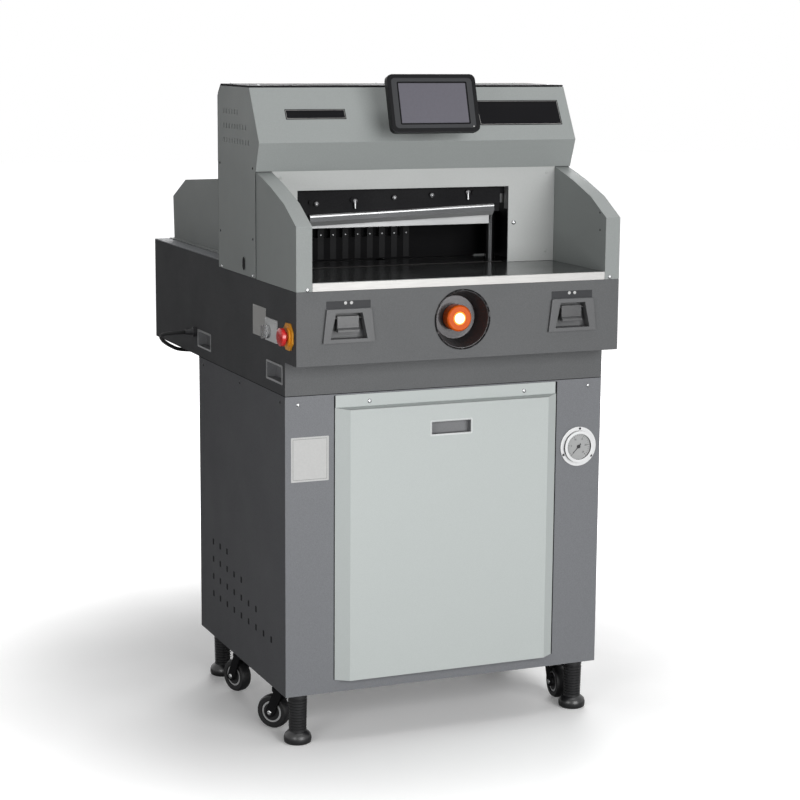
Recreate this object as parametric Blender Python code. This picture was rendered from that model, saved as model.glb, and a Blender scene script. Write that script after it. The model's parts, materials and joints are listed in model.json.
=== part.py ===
"""Hydraulic paper cutter for a print shop counter: cabinet, console, head, knife, clamp and back gauge.

Metres, +Z up. The machine faces -Y. Sizes are set in machine coordinates, with X = 0 on the centre
plane, Y = 0 on the console's front face and Z = 0 on the floor. One empty then carries every piece, and
shifts it so that the origin lies at the middle of the footprint.
"""
import math

import bmesh
import bpy
import numpy as np
from mathutils import Matrix, Vector

# Clearances shared by the whole machine
SEAT_GAP = 0.0003
RUNNING_GAP = 0.0004
CUT_OVERRUN = 0.004

# Overall sizes
MACHINE_WIDTH = 0.740
FOOT_HEIGHT = 0.1118
CABINET_HEIGHT = 0.6487
SKIRT_HEIGHT = 0.0715
CONSOLE_HEIGHT = 0.1532
TABLE_RISE = 0.0175
CONSOLE_OVERHANG = 0.0689
CABINET_DEPTH = 0.5951
MACHINE_DEPTH = 1.020
SHEET = 0.0025
CABINET_SHEET = 0.0020

# Head sizes
HEAD_OVERLAP = 0.0024
HEAD_SHEET = 0.0020
HEAD_FRONT_Y = 0.2487
HEAD_DEPTH = 0.2502
HEAD_BOTTOM_RISE = 0.0018
BROW_Y = 0.2427
BROW_HEIGHT = 0.2111
CREASE_Y = 0.2196
CREASE_RISE = 0.0610
FASCIA_TOP_Y = 0.2836
FASCIA_RISE = 0.1136
HEAD_CHAMFER = 0.0200
LID_THICKNESS = 0.0040
LID_INSET = 0.0010
BACK_OPENING_MARGIN = 0.0700
BACK_OPENING_HEIGHT = 0.1470

# Throat and cutting parts
THROAT_CENTRE_X = -0.0284
THROAT_SIDE_MARGIN = 0.1207
THROAT_HEIGHT = 0.1690
FRONT_PLATE_SHEET = 0.0024
FRONT_PLATE_TUCK = 0.0150

# Side guards
GUARD_THICKNESS = 0.0347
GUARD_FRONT_HEIGHT = 0.1330
GUARD_SHEET = 0.0020
GUARD_CURVE_SHARES = ((0.294, 0.572), (0.633, 0.263), (0.828, 0.116))

# Table
TABLE_PLATE = 0.0250
TABLE_BACK_Y = 0.5000
TABLE_CHEEK = 0.0240
TABLE_CHEEK_INSET = 0.0400
TABLE_CHEEK_FRONT = 0.1000
STRIP_THICKNESS = 0.0062
STRIP_HEIGHT = 0.0166
STICK_WIDTH = 0.0120
STICK_DEPTH = 0.0100
STICK_END_MARGIN = 0.0043
STICK_FRONT_Y = 0.2590
REAR_TABLE_SHEET = 0.0025

# Portal frame
PORTAL_LEG_INSET = 0.0850
PORTAL_LEG = 0.0300
PORTAL_DEPTH = 0.1900
PORTAL_FRONT_Y = 0.2540
PORTAL_HEIGHT = 0.3200
PORTAL_BEAM = 0.0500
PORTAL_BEAM_FRONT = 0.0500

# Knife, its carrier and its drive
KNIFE_PIN_MARGIN = 0.0157
KNIFE_PIN_ABOVE_EDGE = 0.0616
KNIFE_PIN_RADIUS = 0.0050
KNIFE_DROP = 0.1060
KNIFE_EDGE_CLEARANCE = 0.0004
KNIFE_TILT = math.radians(1.9)
KNIFE_END_MARGIN = 0.0309
KNIFE_FRONT_Y = 0.2560
KNIFE_THICKNESS = 0.0100
KNIFE_HEIGHT = 0.0250
KNIFE_TOP_CHAMFER = 0.0030
KNIFE_LAND = 0.0006
CARRIER_FRONT_Y = 0.2603
CARRIER_BACK_Y = 0.2775
CARRIER_END_MARGIN = 0.0143
CARRIER_TOP_ABOVE_KNIFE = 0.1250
CARRIER_TONGUE = 0.0180
CARRIER_END_OVERHANG = 0.0400
CARRIER_EAR_DROP = 0.0160
CARRIER_EAR_FRONT_Y = 0.2686
CARRIER_EAR_END = 0.0130
CARRIER_EAR_OVERLAP = 0.0100
KNIFE_SCREW_RADIUS = 0.0055
KNIFE_SCREW_HEAD = 0.0035
KNIFE_SCREW_RISE = 0.0270
KNIFE_SCREW_PLACE_SHARES = (-0.912, -0.505, -0.086, 0.306, 0.722)
CROSSHEAD_HALF_WIDTH = 0.0150
CROSSHEAD_ABOVE_PIN = 0.0300
CROSSHEAD_BELOW_PIN = 0.0500
CROSSHEAD_BACK_Y = 0.2682
PULL_ROD_RADIUS = 0.0080
PULL_ROD_TABLE_DROP = 0.0730
KNIFE_CYLINDER_RADIUS = 0.0250
KNIFE_CYLINDER_LENGTH = 0.2200
KNIFE_CYLINDER_FLANGE = 0.0140
KNIFE_CYLINDER_FLANGE_HALF = 0.0320
CYLINDER_END_WALL = 0.0200

# Clamp and its drive
CLAMP_FRONT_Y = 0.2790
CLAMP_BACK_Y = 0.3500
CLAMP_OPENING = 0.0840
CLAMP_DROP = 0.0830
CLAMP_SOLE_END_MARGIN = 0.0309
CLAMP_SOLE_HEIGHT = 0.0460
CLAMP_BODY_HEIGHT = 0.0750
CLAMP_ROD_MARGIN = 0.0009
CLAMP_ROD_Y = 0.3350
CLAMP_ROD_RADIUS = 0.0100
YOKE_TABLE_DROP = 0.1030
YOKE_HEIGHT = 0.0300
YOKE_END = 0.0216
YOKE_HALF_DEPTH = 0.0150
CLAMP_PISTON_RADIUS = 0.0150
CLAMP_PISTON_LENGTH = 0.1300
CLAMP_CYLINDER_RADIUS = 0.0380
CLAMP_CYLINDER_LENGTH = 0.1600
CLAMP_FLANGE = 0.0150
CLAMP_FLANGE_HALF_DEPTH = 0.0400
CLAMP_FLANGE_TABLE_DROP = 0.2230

# Back gauge
GAUGE_FACE_Y = 0.4000
GAUGE_END_MARGIN = 0.0113
GAUGE_BAR_HEIGHT = 0.0505
GAUGE_BAR_DEPTH = 0.0400
GAUGE_FINGER_HEIGHT = 0.0600
GAUGE_FINGER_DEPTH = 0.0120
GAUGE_FINGER_PITCH = 0.0295
GAUGE_FINGER_WIDTH = 0.0150
GAUGE_LAST_FINGER = 0.0400
GAUGE_COMB_END = 0.0550
GAUGE_LIFT = 0.0005
GAUGE_NECK_FRONT_Y = 0.4260
GAUGE_NECK_DEPTH = 0.0440
GAUGE_NECK_HALF_WIDTH = 0.0095
GAUGE_FORWARD = 0.0480
GAUGE_BACKWARD = 0.3460
GAUGE_SLOT_SIDE_GAP = 0.0015
GAUGE_SLOT_END_GAP = 0.0040
CARRIAGE_HALF_WIDTH = 0.0800
CARRIAGE_HEIGHT = 0.0360
SCREW_AXIS_DROP = 0.0510
SCREW_RADIUS = 0.0080
SCREW_LEAD = 0.0100
RAIL_RADIUS = 0.0080
RAIL_OUT = 0.0600
BEARING_HALF_WIDTH = 0.0850
BEARING_DEPTH = 0.0170
BEARING_BELOW_AXIS = 0.0220
FRONT_BEARING_Y = 0.3590
REAR_BEARING_Y = 0.8850
MOTOR_HALF_WIDTH = 0.0300
MOTOR_LENGTH = 0.0850
MOTOR_EDGE = 0.0060

# Rear guards
REAR_GUARD_INSET = 0.0500
REAR_GUARD_SHEET = 0.0020
REAR_GUARD_FOOT = 0.0140
REAR_GUARD_HEIGHT = 0.1800
REAR_GUARD_SHARES = ((0.985, 0.0), (0.999, 0.575), (0.795, 0.835), (0.0, 1.0), (0.0, 0.0))

# Service cover on the cabinet's front
COVER_MARGIN = 0.1110
COVER_SIDE_GAP = 0.0014
COVER_BOTTOM_RISE = 0.0270
COVER_TOP_DROP = 0.0035
COVER_FLANGE = 0.0261
COVER_FACE_PROUD = 0.0194
COVER_SIDE_SLOPE = 0.0278
COVER_TOP_SLOPE = 0.0035
COVER_SHEET = 0.0015
PULL_HALF_WIDTH = 0.0455
PULL_HEIGHT = 0.0265
PULL_TOP_DROP = 0.0670
PULL_DEPTH = 0.0150

# Vents: small upright slots in the sheet sides
CABINET_VENT_PITCH = 0.0505
CABINET_VENT_ROW = 0.0413
CABINET_VENT_FIRST_Z = 0.1035
CABINET_VENT_BACK = 0.0995
CABINET_VENT_COUNTS = (9, 7, 5, 3)
CABINET_VENT_HEIGHT = 0.0130
CABINET_VENT_WIDTH = 0.0050
HEAD_VENT_PITCH = 0.0185
HEAD_VENT_ROW = 0.0313
HEAD_VENT_TOP_DROP = 0.0540
HEAD_VENT_BACK = 0.0430
HEAD_VENT_COUNTS = (6, 9, 10)
HEAD_VENT_HEIGHT = 0.0105
HEAD_VENT_WIDTH = 0.0045

# Openings that the cabinet and console leave to each other
WELL_RIM = 0.0700
CONSOLE_RIM = 0.0200

# Recessed grips in the console's sides
GRIP_LENGTH = 0.0930
GRIP_HEIGHT = 0.0335
GRIP_DEPTH = 0.0200
GRIP_RISE = 0.0260
GRIP_FRONT_YS = (0.0870, 0.5730)

# Control knob and its well
WELL_RADIUS = 0.0616
WELL_DEPTH = 0.0500
WELL_WALL = 0.0020
WELL_TOP_DROP = 0.0706
WELL_STEP_RADIUS = 0.0460
WELL_STEP_DEPTH = 0.0400
KNOB_RADIUS = 0.0278
KNOB_FACE_DEPTH = 0.0130
KNOB_LENGTH = 0.0262
KNOB_SPINDLE_RADIUS = 0.0040
KNOB_SPINDLE_LENGTH = 0.0080
KNOB_EDGE = 0.0030
KNOB_LENS_RADIUS = 0.0145
KNOB_LIP = 0.0020

# Two cut switches
SWITCH_INSET = 0.1133
SWITCH_TOP_HALF = 0.0490
SWITCH_BOTTOM_HALF = 0.0570
SWITCH_HEIGHT = 0.0700
SWITCH_TOP_DROP = 0.0370
SWITCH_PROUD = 0.0060
SWITCH_BODY_DEPTH = 0.0280
SWITCH_BODY_MARGIN = 0.0040
SWITCH_RECESS_TOP_HALF = 0.0290
SWITCH_RECESS_BOTTOM_HALF = 0.0405
SWITCH_RECESS_TOP_DROP = 0.0085
SWITCH_RECESS_HEIGHT = 0.0535
SWITCH_RECESS_DEPTH = 0.0240
PADDLE_HALF_WIDTH = 0.0235
PADDLE_HEIGHT = 0.0330
PADDLE_TOP_DROP = 0.0070
PADDLE_THICKNESS = 0.0070
PADDLE_LIP = 0.0050
PADDLE_LIP_HEIGHT = 0.0090
PADDLE_FACE_Y = 0.0010
PADDLE_PIN_RADIUS = 0.0020
PADDLE_PIN_REACH = 0.0100
PADDLE_PIN_Y = 0.0060
PADDLE_PIN_DROP = 0.0040

# Emergency stop
STOP_Y = 0.0420
STOP_TOP_DROP = 0.0950
STOP_COLLAR_RADIUS = 0.0300
STOP_COLLAR_PLATE = 0.0040
STOP_COLLAR_BOSS_RADIUS = 0.0200
STOP_COLLAR_BOSS = 0.0030
STOP_STEM_RADIUS = 0.0100
STOP_STEM_LENGTH = 0.0180
STOP_HEAD_RADIUS = 0.0190
STOP_HEAD_LENGTH = 0.0120
STOP_TRAVEL = 0.0045
STOP_REACH = 0.0250

# Main isolator switch
ISOLATOR_FRONT_Y = 0.1120
ISOLATOR_LENGTH = 0.0720
ISOLATOR_HEIGHT = 0.0480
ISOLATOR_TOP_DROP = 0.0715
ISOLATOR_PLATE = 0.0030
ISOLATOR_KNOB_BACK = 0.0480
ISOLATOR_KNOB_RISE = 0.0200
ISOLATOR_KNOB_RADIUS = 0.0140
ISOLATOR_KNOB_BASE = 0.0060
ISOLATOR_KNOB_HEIGHT = 0.0160
ISOLATOR_GRIP_HALF = 0.0040
ISOLATOR_SPINDLE_RADIUS = 0.0040
ISOLATOR_SPINDLE_LENGTH = 0.0120

# Pressure gauge
GAUGE_DIAL_INSET = 0.0547
GAUGE_DIAL_TOP_DROP = 0.1515
GAUGE_FLANGE_RADIUS = 0.0440
GAUGE_FLANGE = 0.0020
GAUGE_BEZEL_RADIUS = 0.0355
GAUGE_BEZEL_PROUD = 0.0060
GAUGE_DIAL_RADIUS = 0.0290
GAUGE_DIAL_DEPTH = 0.0050
GAUGE_BODY_RADIUS = 0.0320
GAUGE_BODY_DEPTH = 0.0260
GAUGE_SOCKET_RADIUS = 0.0070
GAUGE_SOCKET_LENGTH = 0.0200
GAUGE_NEEDLE_LENGTH = 0.0220
GAUGE_NEEDLE_HALF = 0.0012
GAUGE_NEEDLE_SHEET = 0.0008
GAUGE_NEEDLE_HUB = 0.0040
GAUGE_SPINDLE_RADIUS = 0.0012
GAUGE_SPINDLE_DEPTH = 0.0030
GAUGE_NEEDLE_ANGLE = math.radians(-138)

# Touch screen and its bracket
SCREEN_X = 0.0090
SCREEN_PIN_Y = 0.2200
SCREEN_PIN_DROP = 0.0743
SCREEN_TILT = math.radians(17)
SCREEN_WIDTH = 0.2060
SCREEN_HEIGHT = 0.1270
SCREEN_FRONT = 0.0150
SCREEN_BACK = 0.0230
SCREEN_BACK_SHARE = 0.72
SCREEN_CORNER = 0.0120
SCREEN_DISPLAY_WIDTH = 0.1570
SCREEN_DISPLAY_HEIGHT = 0.0875
SCREEN_DISPLAY_DEPTH = 0.0010
SCREEN_PIN_BELOW = 0.0300
SCREEN_EAR_HALF = 0.0080
SCREEN_EAR_REACH = 0.0130
SCREEN_EAR_OVERLAP = 0.0030
SCREEN_EAR_RADIUS = 0.0075
BRACKET_ARM = 0.0050
BRACKET_HALF = 0.0240
BRACKET_PIN_RADIUS = 0.0030
BRACKET_PLATE = 0.0050
BRACKET_PLATE_HALF = 0.0260
BRACKET_FOOT_DROP = 0.0094
BRACKET_ARM_HALF = 0.0120
BRACKET_EYE = 0.0070

# Feet and casters
FOOT_INSET = 0.0386
FOOT_FRONT_INSET = 0.0326
FOOT_REAR_INSET = 0.0440
FOOT_RADIUS = 0.0205
FOOT_BASE_RADIUS = 0.0300
FOOT_BASE_HEIGHT = 0.0260
FOOT_RIB_DEPTH = 0.0014
FOOT_RIB_COUNT = 6
FOOT_COLLAR = 0.0100
FOOT_STEM_RADIUS = 0.0060
FOOT_STEM_LENGTH = 0.0450
FOOT_TRAVEL = 0.0200
CASTER_INSET = 0.0380
CASTER_FRONT_INSET = 0.1261
CASTER_REAR_INSET = 0.1980
CASTER_TRAIL = 0.0220
CASTER_TURNS = (math.radians(40), math.radians(20), math.radians(175), math.radians(20))
WHEEL_RADIUS = 0.0375
WHEEL_HALF_WIDTH = 0.0130
WHEEL_HUB_RADIUS = 0.0110
WHEEL_HUB_HALF = 0.0150
WHEEL_BORE_RADIUS = 0.0044
WHEEL_TREAD_ROUND = 0.0060
WHEEL_DISH = 0.0030
WHEEL_DISH_RADIUS = 0.0250
FORK_SHEET = 0.0030
FORK_HALF_WIDTH = 0.0185
FORK_CROWN_Z = 0.0860
FORK_CROWN_HEIGHT = 0.0070
FORK_LEG_HALF = 0.0110
FORK_CROWN_RADIUS = 0.0240
FORK_KING_RADIUS = 0.0170
AXLE_RADIUS = 0.0040

# Hydraulic power pack in the cabinet
TANK_LENGTH = 0.4200
TANK_DEPTH = 0.3000
TANK_HEIGHT = 0.2300
TANK_LEFT_X = -0.3000
TANK_FRONT_Y = 0.2400
TANK_ROUND = 0.0120
TANK_NECK_RADIUS = 0.0200
TANK_NECK_HEIGHT = 0.0180
PUMP_PLACE_SHARES = (0.30, 0.50)
PUMP_FLANGE_RADIUS = 0.0800
PUMP_FLANGE = 0.0100
PUMP_MOTOR_RADIUS = 0.0650
PUMP_MOTOR_LENGTH = 0.1800
PUMP_FIN_DEPTH = 0.0050
PUMP_FIN_COUNT = 16
PUMP_FAN_RADIUS = 0.0560
PUMP_FAN_HEIGHT = 0.0200
VALVE_LEFT_SHARE = 0.66
VALVE_WIDTH = 0.0900
VALVE_DEPTH = 0.1100
VALVE_HEIGHT = 0.0600
VALVE_COIL_RADIUS = 0.0200
VALVE_COIL_HEIGHT = 0.0500
VALVE_COIL_OUT = 0.0280

# Mains cable
CORD_RADIUS = 0.0045
GLAND_Y = 0.6840
GLAND_RISE = 0.0547
GLAND_RADIUS = 0.0115
GLAND_NUT_LENGTH = 0.0090
GLAND_TAPER_LENGTH = 0.0180
GLAND_TIP_RADIUS = 0.0065
GLAND_SHANK_RADIUS = 0.0080
GLAND_SHANK_LENGTH = 0.0100
CLIP_X = -0.2400
CLIP_Y = 0.8320
CLIP_HALF_WIDTH = 0.0060
CLIP_SHEET = 0.0020
CLIP_DROP = 0.0128
CLIP_GAP = 0.0006
COIL_X = 0.0500
COIL_Y = 0.8000
COIL_INNER_RADIUS = 0.0415
COIL_PITCH = 0.0096
COIL_TURNS = 5
COIL_POINTS = 24
COIL_LAYER = 0.0096
COIL_LOW_Z = 0.0048
COIL_TAIL = 0.0603
CORD_STEP = 0.0220
CORD_END_GAP = 0.0003
CORD_ROUTE = (
    (-0.3977, 0.6840, 0.8155),
    (-0.4060, 0.6840, 0.8155),
    (-0.4240, 0.6887, 0.8143),
    (-0.4370, 0.7015, 0.8112),
    (-0.4410, 0.7190, 0.8068),
    (-0.4375, 0.7435, 0.8003),
    (-0.4305, 0.7670, 0.7925),
    (-0.4205, 0.7885, 0.7833),
    (-0.4070, 0.8075, 0.7735),
    (-0.3905, 0.8235, 0.7635),
    (-0.3705, 0.8345, 0.7540),
    (-0.3465, 0.8395, 0.7495),
    (-0.3205, 0.8405, 0.7480),
    (-0.2950, 0.8385, 0.7475),
    (-0.2720, 0.8345, 0.7480),
    (-0.2400, 0.8320, 0.7480),
    (-0.2180, 0.8320, 0.7480),
    (-0.1990, 0.8370, 0.7410),
    (-0.1870, 0.8410, 0.7250),
    (-0.1820, 0.8430, 0.7020),
    (-0.1810, 0.8440, 0.6700),
    (-0.1810, 0.8450, 0.6000),
    (-0.1810, 0.8450, 0.5000),
    (-0.1810, 0.8450, 0.4000),
    (-0.1810, 0.8450, 0.3000),
    (-0.1810, 0.8450, 0.2000),
    (-0.1780, 0.8450, 0.1200),
    (-0.1700, 0.8460, 0.0700),
    (-0.1500, 0.8500, 0.0320),
    (-0.1180, 0.8560, 0.0120),
    (-0.0800, 0.8620, 0.0048),
    (-0.0400, 0.8655, 0.0048),
    (0.0000, 0.8655, 0.0048),
    (0.0407, 0.8655, 0.0048),
)
PLUG_LENGTH = 0.0440
PLUG_HALF_WIDTH = 0.0190
PLUG_ROUND = 0.0050
PLUG_NECK_LENGTH = 0.0160
PLUG_NECK_RADIUS = 0.0070
PLUG_PIN_RADIUS = 0.0024
PLUG_PIN_LENGTH = 0.0190
PLUG_PIN_OUT = 0.0095

# Levels and planes that follow from the sizes above
HALF = MACHINE_WIDTH / 2
CABINET_TOP = FOOT_HEIGHT + CABINET_HEIGHT
CABINET_BACK = CONSOLE_OVERHANG + CABINET_DEPTH
FOOT_X = HALF - FOOT_INSET
FOOT_YS = (CONSOLE_OVERHANG + FOOT_FRONT_INSET, CABINET_BACK - FOOT_REAR_INSET)
CASTER_X = HALF - CASTER_INSET
CASTER_YS = (CONSOLE_OVERHANG + CASTER_FRONT_INSET, CABINET_BACK - CASTER_REAR_INSET)
THROAT_HALF_WIDTH = HALF - THROAT_SIDE_MARGIN
STICK_HALF_LENGTH = THROAT_HALF_WIDTH - STICK_END_MARGIN
BACK_OPENING_HALF = HALF - BACK_OPENING_MARGIN
PORTAL_HALF_GAP = HALF - PORTAL_LEG_INSET
KNIFE_HALF_LENGTH = THROAT_HALF_WIDTH - KNIFE_END_MARGIN
CARRIER_HALF_LENGTH = THROAT_HALF_WIDTH - CARRIER_END_MARGIN
CLAMP_SOLE_HALF_LENGTH = THROAT_HALF_WIDTH - CLAMP_SOLE_END_MARGIN
CLAMP_ROD_OUT = THROAT_HALF_WIDTH - CLAMP_ROD_MARGIN
KNIFE_PIN_OUT = THROAT_HALF_WIDTH + KNIFE_PIN_MARGIN
YOKE_HALF_LENGTH = CLAMP_ROD_OUT + YOKE_END
GAUGE_HALF_LENGTH = THROAT_HALF_WIDTH - GAUGE_END_MARGIN
GAUGE_COMB_ROOM = GAUGE_LAST_FINGER + GAUGE_HALF_LENGTH - GAUGE_FINGER_WIDTH / 2
GAUGE_FINGER_COUNT = int(GAUGE_COMB_ROOM / GAUGE_FINGER_PITCH) + 1
TABLE_CHEEK_OUT = HALF - TABLE_CHEEK_INSET
REAR_GUARD_OUT = HALF - REAR_GUARD_INSET
COVER_HALF_WIDTH = HALF - COVER_MARGIN
SWITCH_OUT = HALF - SWITCH_INSET
GAUGE_DIAL_X = HALF - GAUGE_DIAL_INSET
CONSOLE_BOTTOM = CABINET_TOP + SEAT_GAP
STEP_Z = CONSOLE_BOTTOM + SKIRT_HEIGHT
CONSOLE_TOP = STEP_Z + CONSOLE_HEIGHT
TABLE_Z = CONSOLE_TOP + TABLE_RISE
YOKE_TOP_Z = TABLE_Z - YOKE_TABLE_DROP
PULL_ROD_END_Z = TABLE_Z - PULL_ROD_TABLE_DROP
CLAMP_FLANGE_TOP_Z = TABLE_Z - CLAMP_FLANGE_TABLE_DROP
TABLE_UNDERSIDE = TABLE_Z - TABLE_PLATE
TABLE_HALF = HALF - GUARD_THICKNESS - SEAT_GAP
SIDE_TOP = TABLE_Z - REAR_TABLE_SHEET - SEAT_GAP
HEAD_HALF = HALF + HEAD_OVERLAP
HEAD_INNER = HEAD_HALF - HEAD_SHEET
HEAD_BOTTOM = CONSOLE_TOP + HEAD_BOTTOM_RISE
HEAD_BACK = HEAD_FRONT_Y + HEAD_DEPTH
BROW_Z = TABLE_Z + BROW_HEIGHT
CREASE_Z = BROW_Z + CREASE_RISE
HEAD_TOP = CREASE_Z + FASCIA_RISE
PORTAL_BACK = PORTAL_FRONT_Y + PORTAL_DEPTH
CLAMP_SOLE_Z = TABLE_Z + CLAMP_OPENING
KNIFE_PIN_X = THROAT_CENTRE_X + KNIFE_PIN_OUT
KNIFE_PIN_Z = TABLE_Z + KNIFE_EDGE_CLEARANCE + KNIFE_PIN_ABOVE_EDGE + KNIFE_DROP
PULL_ROD_Y = (KNIFE_FRONT_Y + CROSSHEAD_BACK_Y) / 2
SCREW_Z = TABLE_Z - SCREW_AXIS_DROP
SLOT_HALF = GAUGE_NECK_HALF_WIDTH + GAUGE_SLOT_SIDE_GAP
SLOT_FRONT = GAUGE_NECK_FRONT_Y - GAUGE_FORWARD - GAUGE_SLOT_END_GAP
SLOT_BACK = GAUGE_NECK_FRONT_Y + GAUGE_NECK_DEPTH + GAUGE_BACKWARD + GAUGE_SLOT_END_GAP
WELL_Z = CONSOLE_TOP - WELL_TOP_DROP
SWITCH_TOP = CONSOLE_TOP - SWITCH_TOP_DROP
STOP_Z = CONSOLE_TOP - STOP_TOP_DROP
ISOLATOR_TOP = CONSOLE_TOP - ISOLATOR_TOP_DROP
ISOLATOR_KNOB_Y = ISOLATOR_FRONT_Y + ISOLATOR_KNOB_BACK
ISOLATOR_KNOB_Z = ISOLATOR_TOP - ISOLATOR_HEIGHT + ISOLATOR_KNOB_RISE
DIAL_Z = CABINET_TOP - GAUGE_DIAL_TOP_DROP
SCREEN_PIN_Z = HEAD_TOP - SCREEN_PIN_DROP
GLAND_Z = CONSOLE_BOTTOM + GLAND_RISE
CORD_CLIP_Z = CONSOLE_BOTTOM - CLIP_DROP

# Colour, roughness and metal share of each finish
FINISHES = {
    "dark_grey_paint": ((0.055, 0.057, 0.062), 0.45, 0.0),
    "mid_grey_paint": ((0.165, 0.170, 0.180), 0.45, 0.0),
    "pale_grey_paint": ((0.520, 0.560, 0.550), 0.40, 0.0),
    "head_grey_paint": ((0.270, 0.290, 0.285), 0.42, 0.0),
    "black_paint": ((0.012, 0.012, 0.013), 0.40, 0.0),
    "polished_iron": ((0.120, 0.125, 0.125), 0.18, 1.0),
    "cast_iron": ((0.080, 0.082, 0.085), 0.55, 0.6),
    "ground_steel": ((0.560, 0.570, 0.580), 0.25, 1.0),
    "chrome": ((0.760, 0.770, 0.780), 0.08, 1.0),
    "brushed_aluminium": ((0.700, 0.700, 0.690), 0.35, 1.0),
    "black_plastic": ((0.018, 0.018, 0.020), 0.45, 0.0),
    "screen_plastic": ((0.075, 0.080, 0.085), 0.40, 0.0),
    "red_plastic": ((0.600, 0.020, 0.020), 0.35, 0.0),
    "yellow_plastic": ((0.800, 0.430, 0.020), 0.40, 0.0),
    "orange_lens": ((0.900, 0.210, 0.020), 0.25, 0.0),
    "stick_plastic": ((0.550, 0.060, 0.050), 0.50, 0.0),
    "rubber": ((0.014, 0.014, 0.015), 0.80, 0.0),
    "tank_paint": ((0.100, 0.130, 0.170), 0.50, 0.0),
}

X_AXIS = Matrix.Rotation(math.pi / 2, 4, "Y")
Y_AXIS = Matrix.Rotation(-math.pi / 2, 4, "X")


def clear_scene():
    for old in list(bpy.data.objects):
        bpy.data.objects.remove(old)


def finish_material(name):
    """The Principled material of a finish, made once."""
    found = bpy.data.materials.get(name)
    if found:
        return found
    colour, roughness, metallic = FINISHES[name]
    material = bpy.data.materials.new(name)
    material.use_nodes = True
    shader = material.node_tree.nodes["Principled BSDF"]
    shader.inputs["Base Color"].default_value = (*colour, 1)
    shader.inputs["Roughness"].default_value = roughness
    shader.inputs["Metallic"].default_value = metallic
    return material


class Assembly:
    """Collects the machine's pieces under the one empty that carries them."""

    def __init__(self, name, shift):
        self.carrier = bpy.data.objects.new(name, None)
        self.carrier.location = shift
        bpy.context.scene.collection.objects.link(self.carrier)

    def add(self, name, shape, finish, origin=(0, 0, 0)):
        """Adds a shape modelled in machine coordinates, with its origin moved to a point of it."""
        bmesh.ops.translate(shape, verts=shape.verts, vec=-Vector(origin))
        return self.add_local(name, shape, finish, origin)

    def add_local(self, name, shape, finish, location, rotation=(0, 0, 0)):
        """Adds a shape modelled about its own origin, then placed and turned."""
        mesh = bpy.data.meshes.new(name)
        bmesh.ops.recalc_face_normals(shape, faces=shape.faces)
        shape.to_mesh(mesh)
        shape.free()
        mesh.shade_smooth()
        mesh.set_sharp_from_angle(angle=math.radians(30))
        mesh.materials.append(finish_material(finish))
        piece = bpy.data.objects.new(name, mesh)
        bpy.context.scene.collection.objects.link(piece)
        piece.parent = self.carrier
        piece.location = location
        piece.rotation_euler = rotation
        return piece

    def tool(self, piece, shape, operation):
        """Cuts a shape out of a piece or joins it on, both in the piece's own coordinates."""
        mesh = bpy.data.meshes.new(piece.name + "_tool")
        bmesh.ops.recalc_face_normals(shape, faces=shape.faces)
        shape.to_mesh(mesh)
        shape.free()
        helper = bpy.data.objects.new(mesh.name, mesh)
        bpy.context.scene.collection.objects.link(helper)
        helper.parent = piece
        helper.hide_render = True
        helper.display_type = "WIRE"
        modifier = piece.modifiers.new(operation.lower(), "BOOLEAN")
        modifier.operation = operation
        modifier.solver = "EXACT"
        modifier.object = helper

    def cut(self, piece, shape):
        self.tool(piece, shape, "DIFFERENCE")

    def join(self, piece, shape):
        self.tool(piece, shape, "UNION")


def box(low, high):
    """A box between two corners."""
    shape = bmesh.new()
    bmesh.ops.create_cube(shape, size=1)
    low, high = Vector(low), Vector(high)
    bmesh.ops.scale(shape, verts=shape.verts, vec=high - low)
    bmesh.ops.translate(shape, verts=shape.verts, vec=(low + high) / 2)
    return shape


def prism(outline, axis, start, end):
    """An outline of two coordinates, pushed along the third axis from start to end."""
    order = {"X": lambda a, b, c: (c, a, b), "Y": lambda a, b, c: (a, c, b), "Z": lambda a, b, c: (a, b, c)}
    shape = bmesh.new()
    corners = [shape.verts.new(order[axis](a, b, start)) for a, b in outline]
    face = shape.faces.new(corners)
    pushed = bmesh.ops.extrude_face_region(shape, geom=[face])
    moved = [item for item in pushed["geom"] if isinstance(item, bmesh.types.BMVert)]
    bmesh.ops.translate(shape, verts=moved, vec=order[axis](0, 0, end - start))
    return shape


def hull(points):
    """The convex solid around some points."""
    shape = bmesh.new()
    corners = [shape.verts.new(point) for point in points]
    made = bmesh.ops.convex_hull(shape, input=corners)
    loose = {item for item in made["geom_interior"] + made["geom_unused"] if isinstance(item, bmesh.types.BMVert)}
    bmesh.ops.delete(shape, geom=list(loose), context="VERTS")
    return shape


def turned(profile, sides, matrix=None, ring=False):
    """A profile of (radius, height) turned about Z. A ring's profile closes on itself."""
    shape = bmesh.new()
    loops = []
    for radius, height in profile:
        if radius == 0:
            loops.append([shape.verts.new((0, 0, height))])
            continue
        angles = (2 * math.pi * i / sides for i in range(sides))
        loops.append([shape.verts.new((radius * math.cos(a), radius * math.sin(a), height)) for a in angles])
    pairs = list(zip(loops, loops[1:]))
    if ring:
        pairs.append((loops[-1], loops[0]))
    for lower, upper in pairs:
        for i in range(sides):
            j = (i + 1) % sides
            corners = [lower[i % len(lower)], lower[j % len(lower)], upper[j % len(upper)], upper[i % len(upper)]]
            unique = list(dict.fromkeys(corners))
            if len(unique) > 2:
                shape.faces.new(unique)
    for loop in (loops[0], loops[-1]):
        if len(loop) > 1 and not ring:
            shape.faces.new(loop)
    if matrix is not None:
        bmesh.ops.transform(shape, matrix=matrix, verts=shape.verts)
    return shape


def rod(radius, start, end, sides, place, turn=None):
    """A plain cylinder along Z, or along the axis that turn gives, about a place."""
    matrix = Matrix.Translation(place) @ (turn or Matrix.Identity(4))
    return turned(((radius, start), (radius, end)), sides, matrix)


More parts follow.
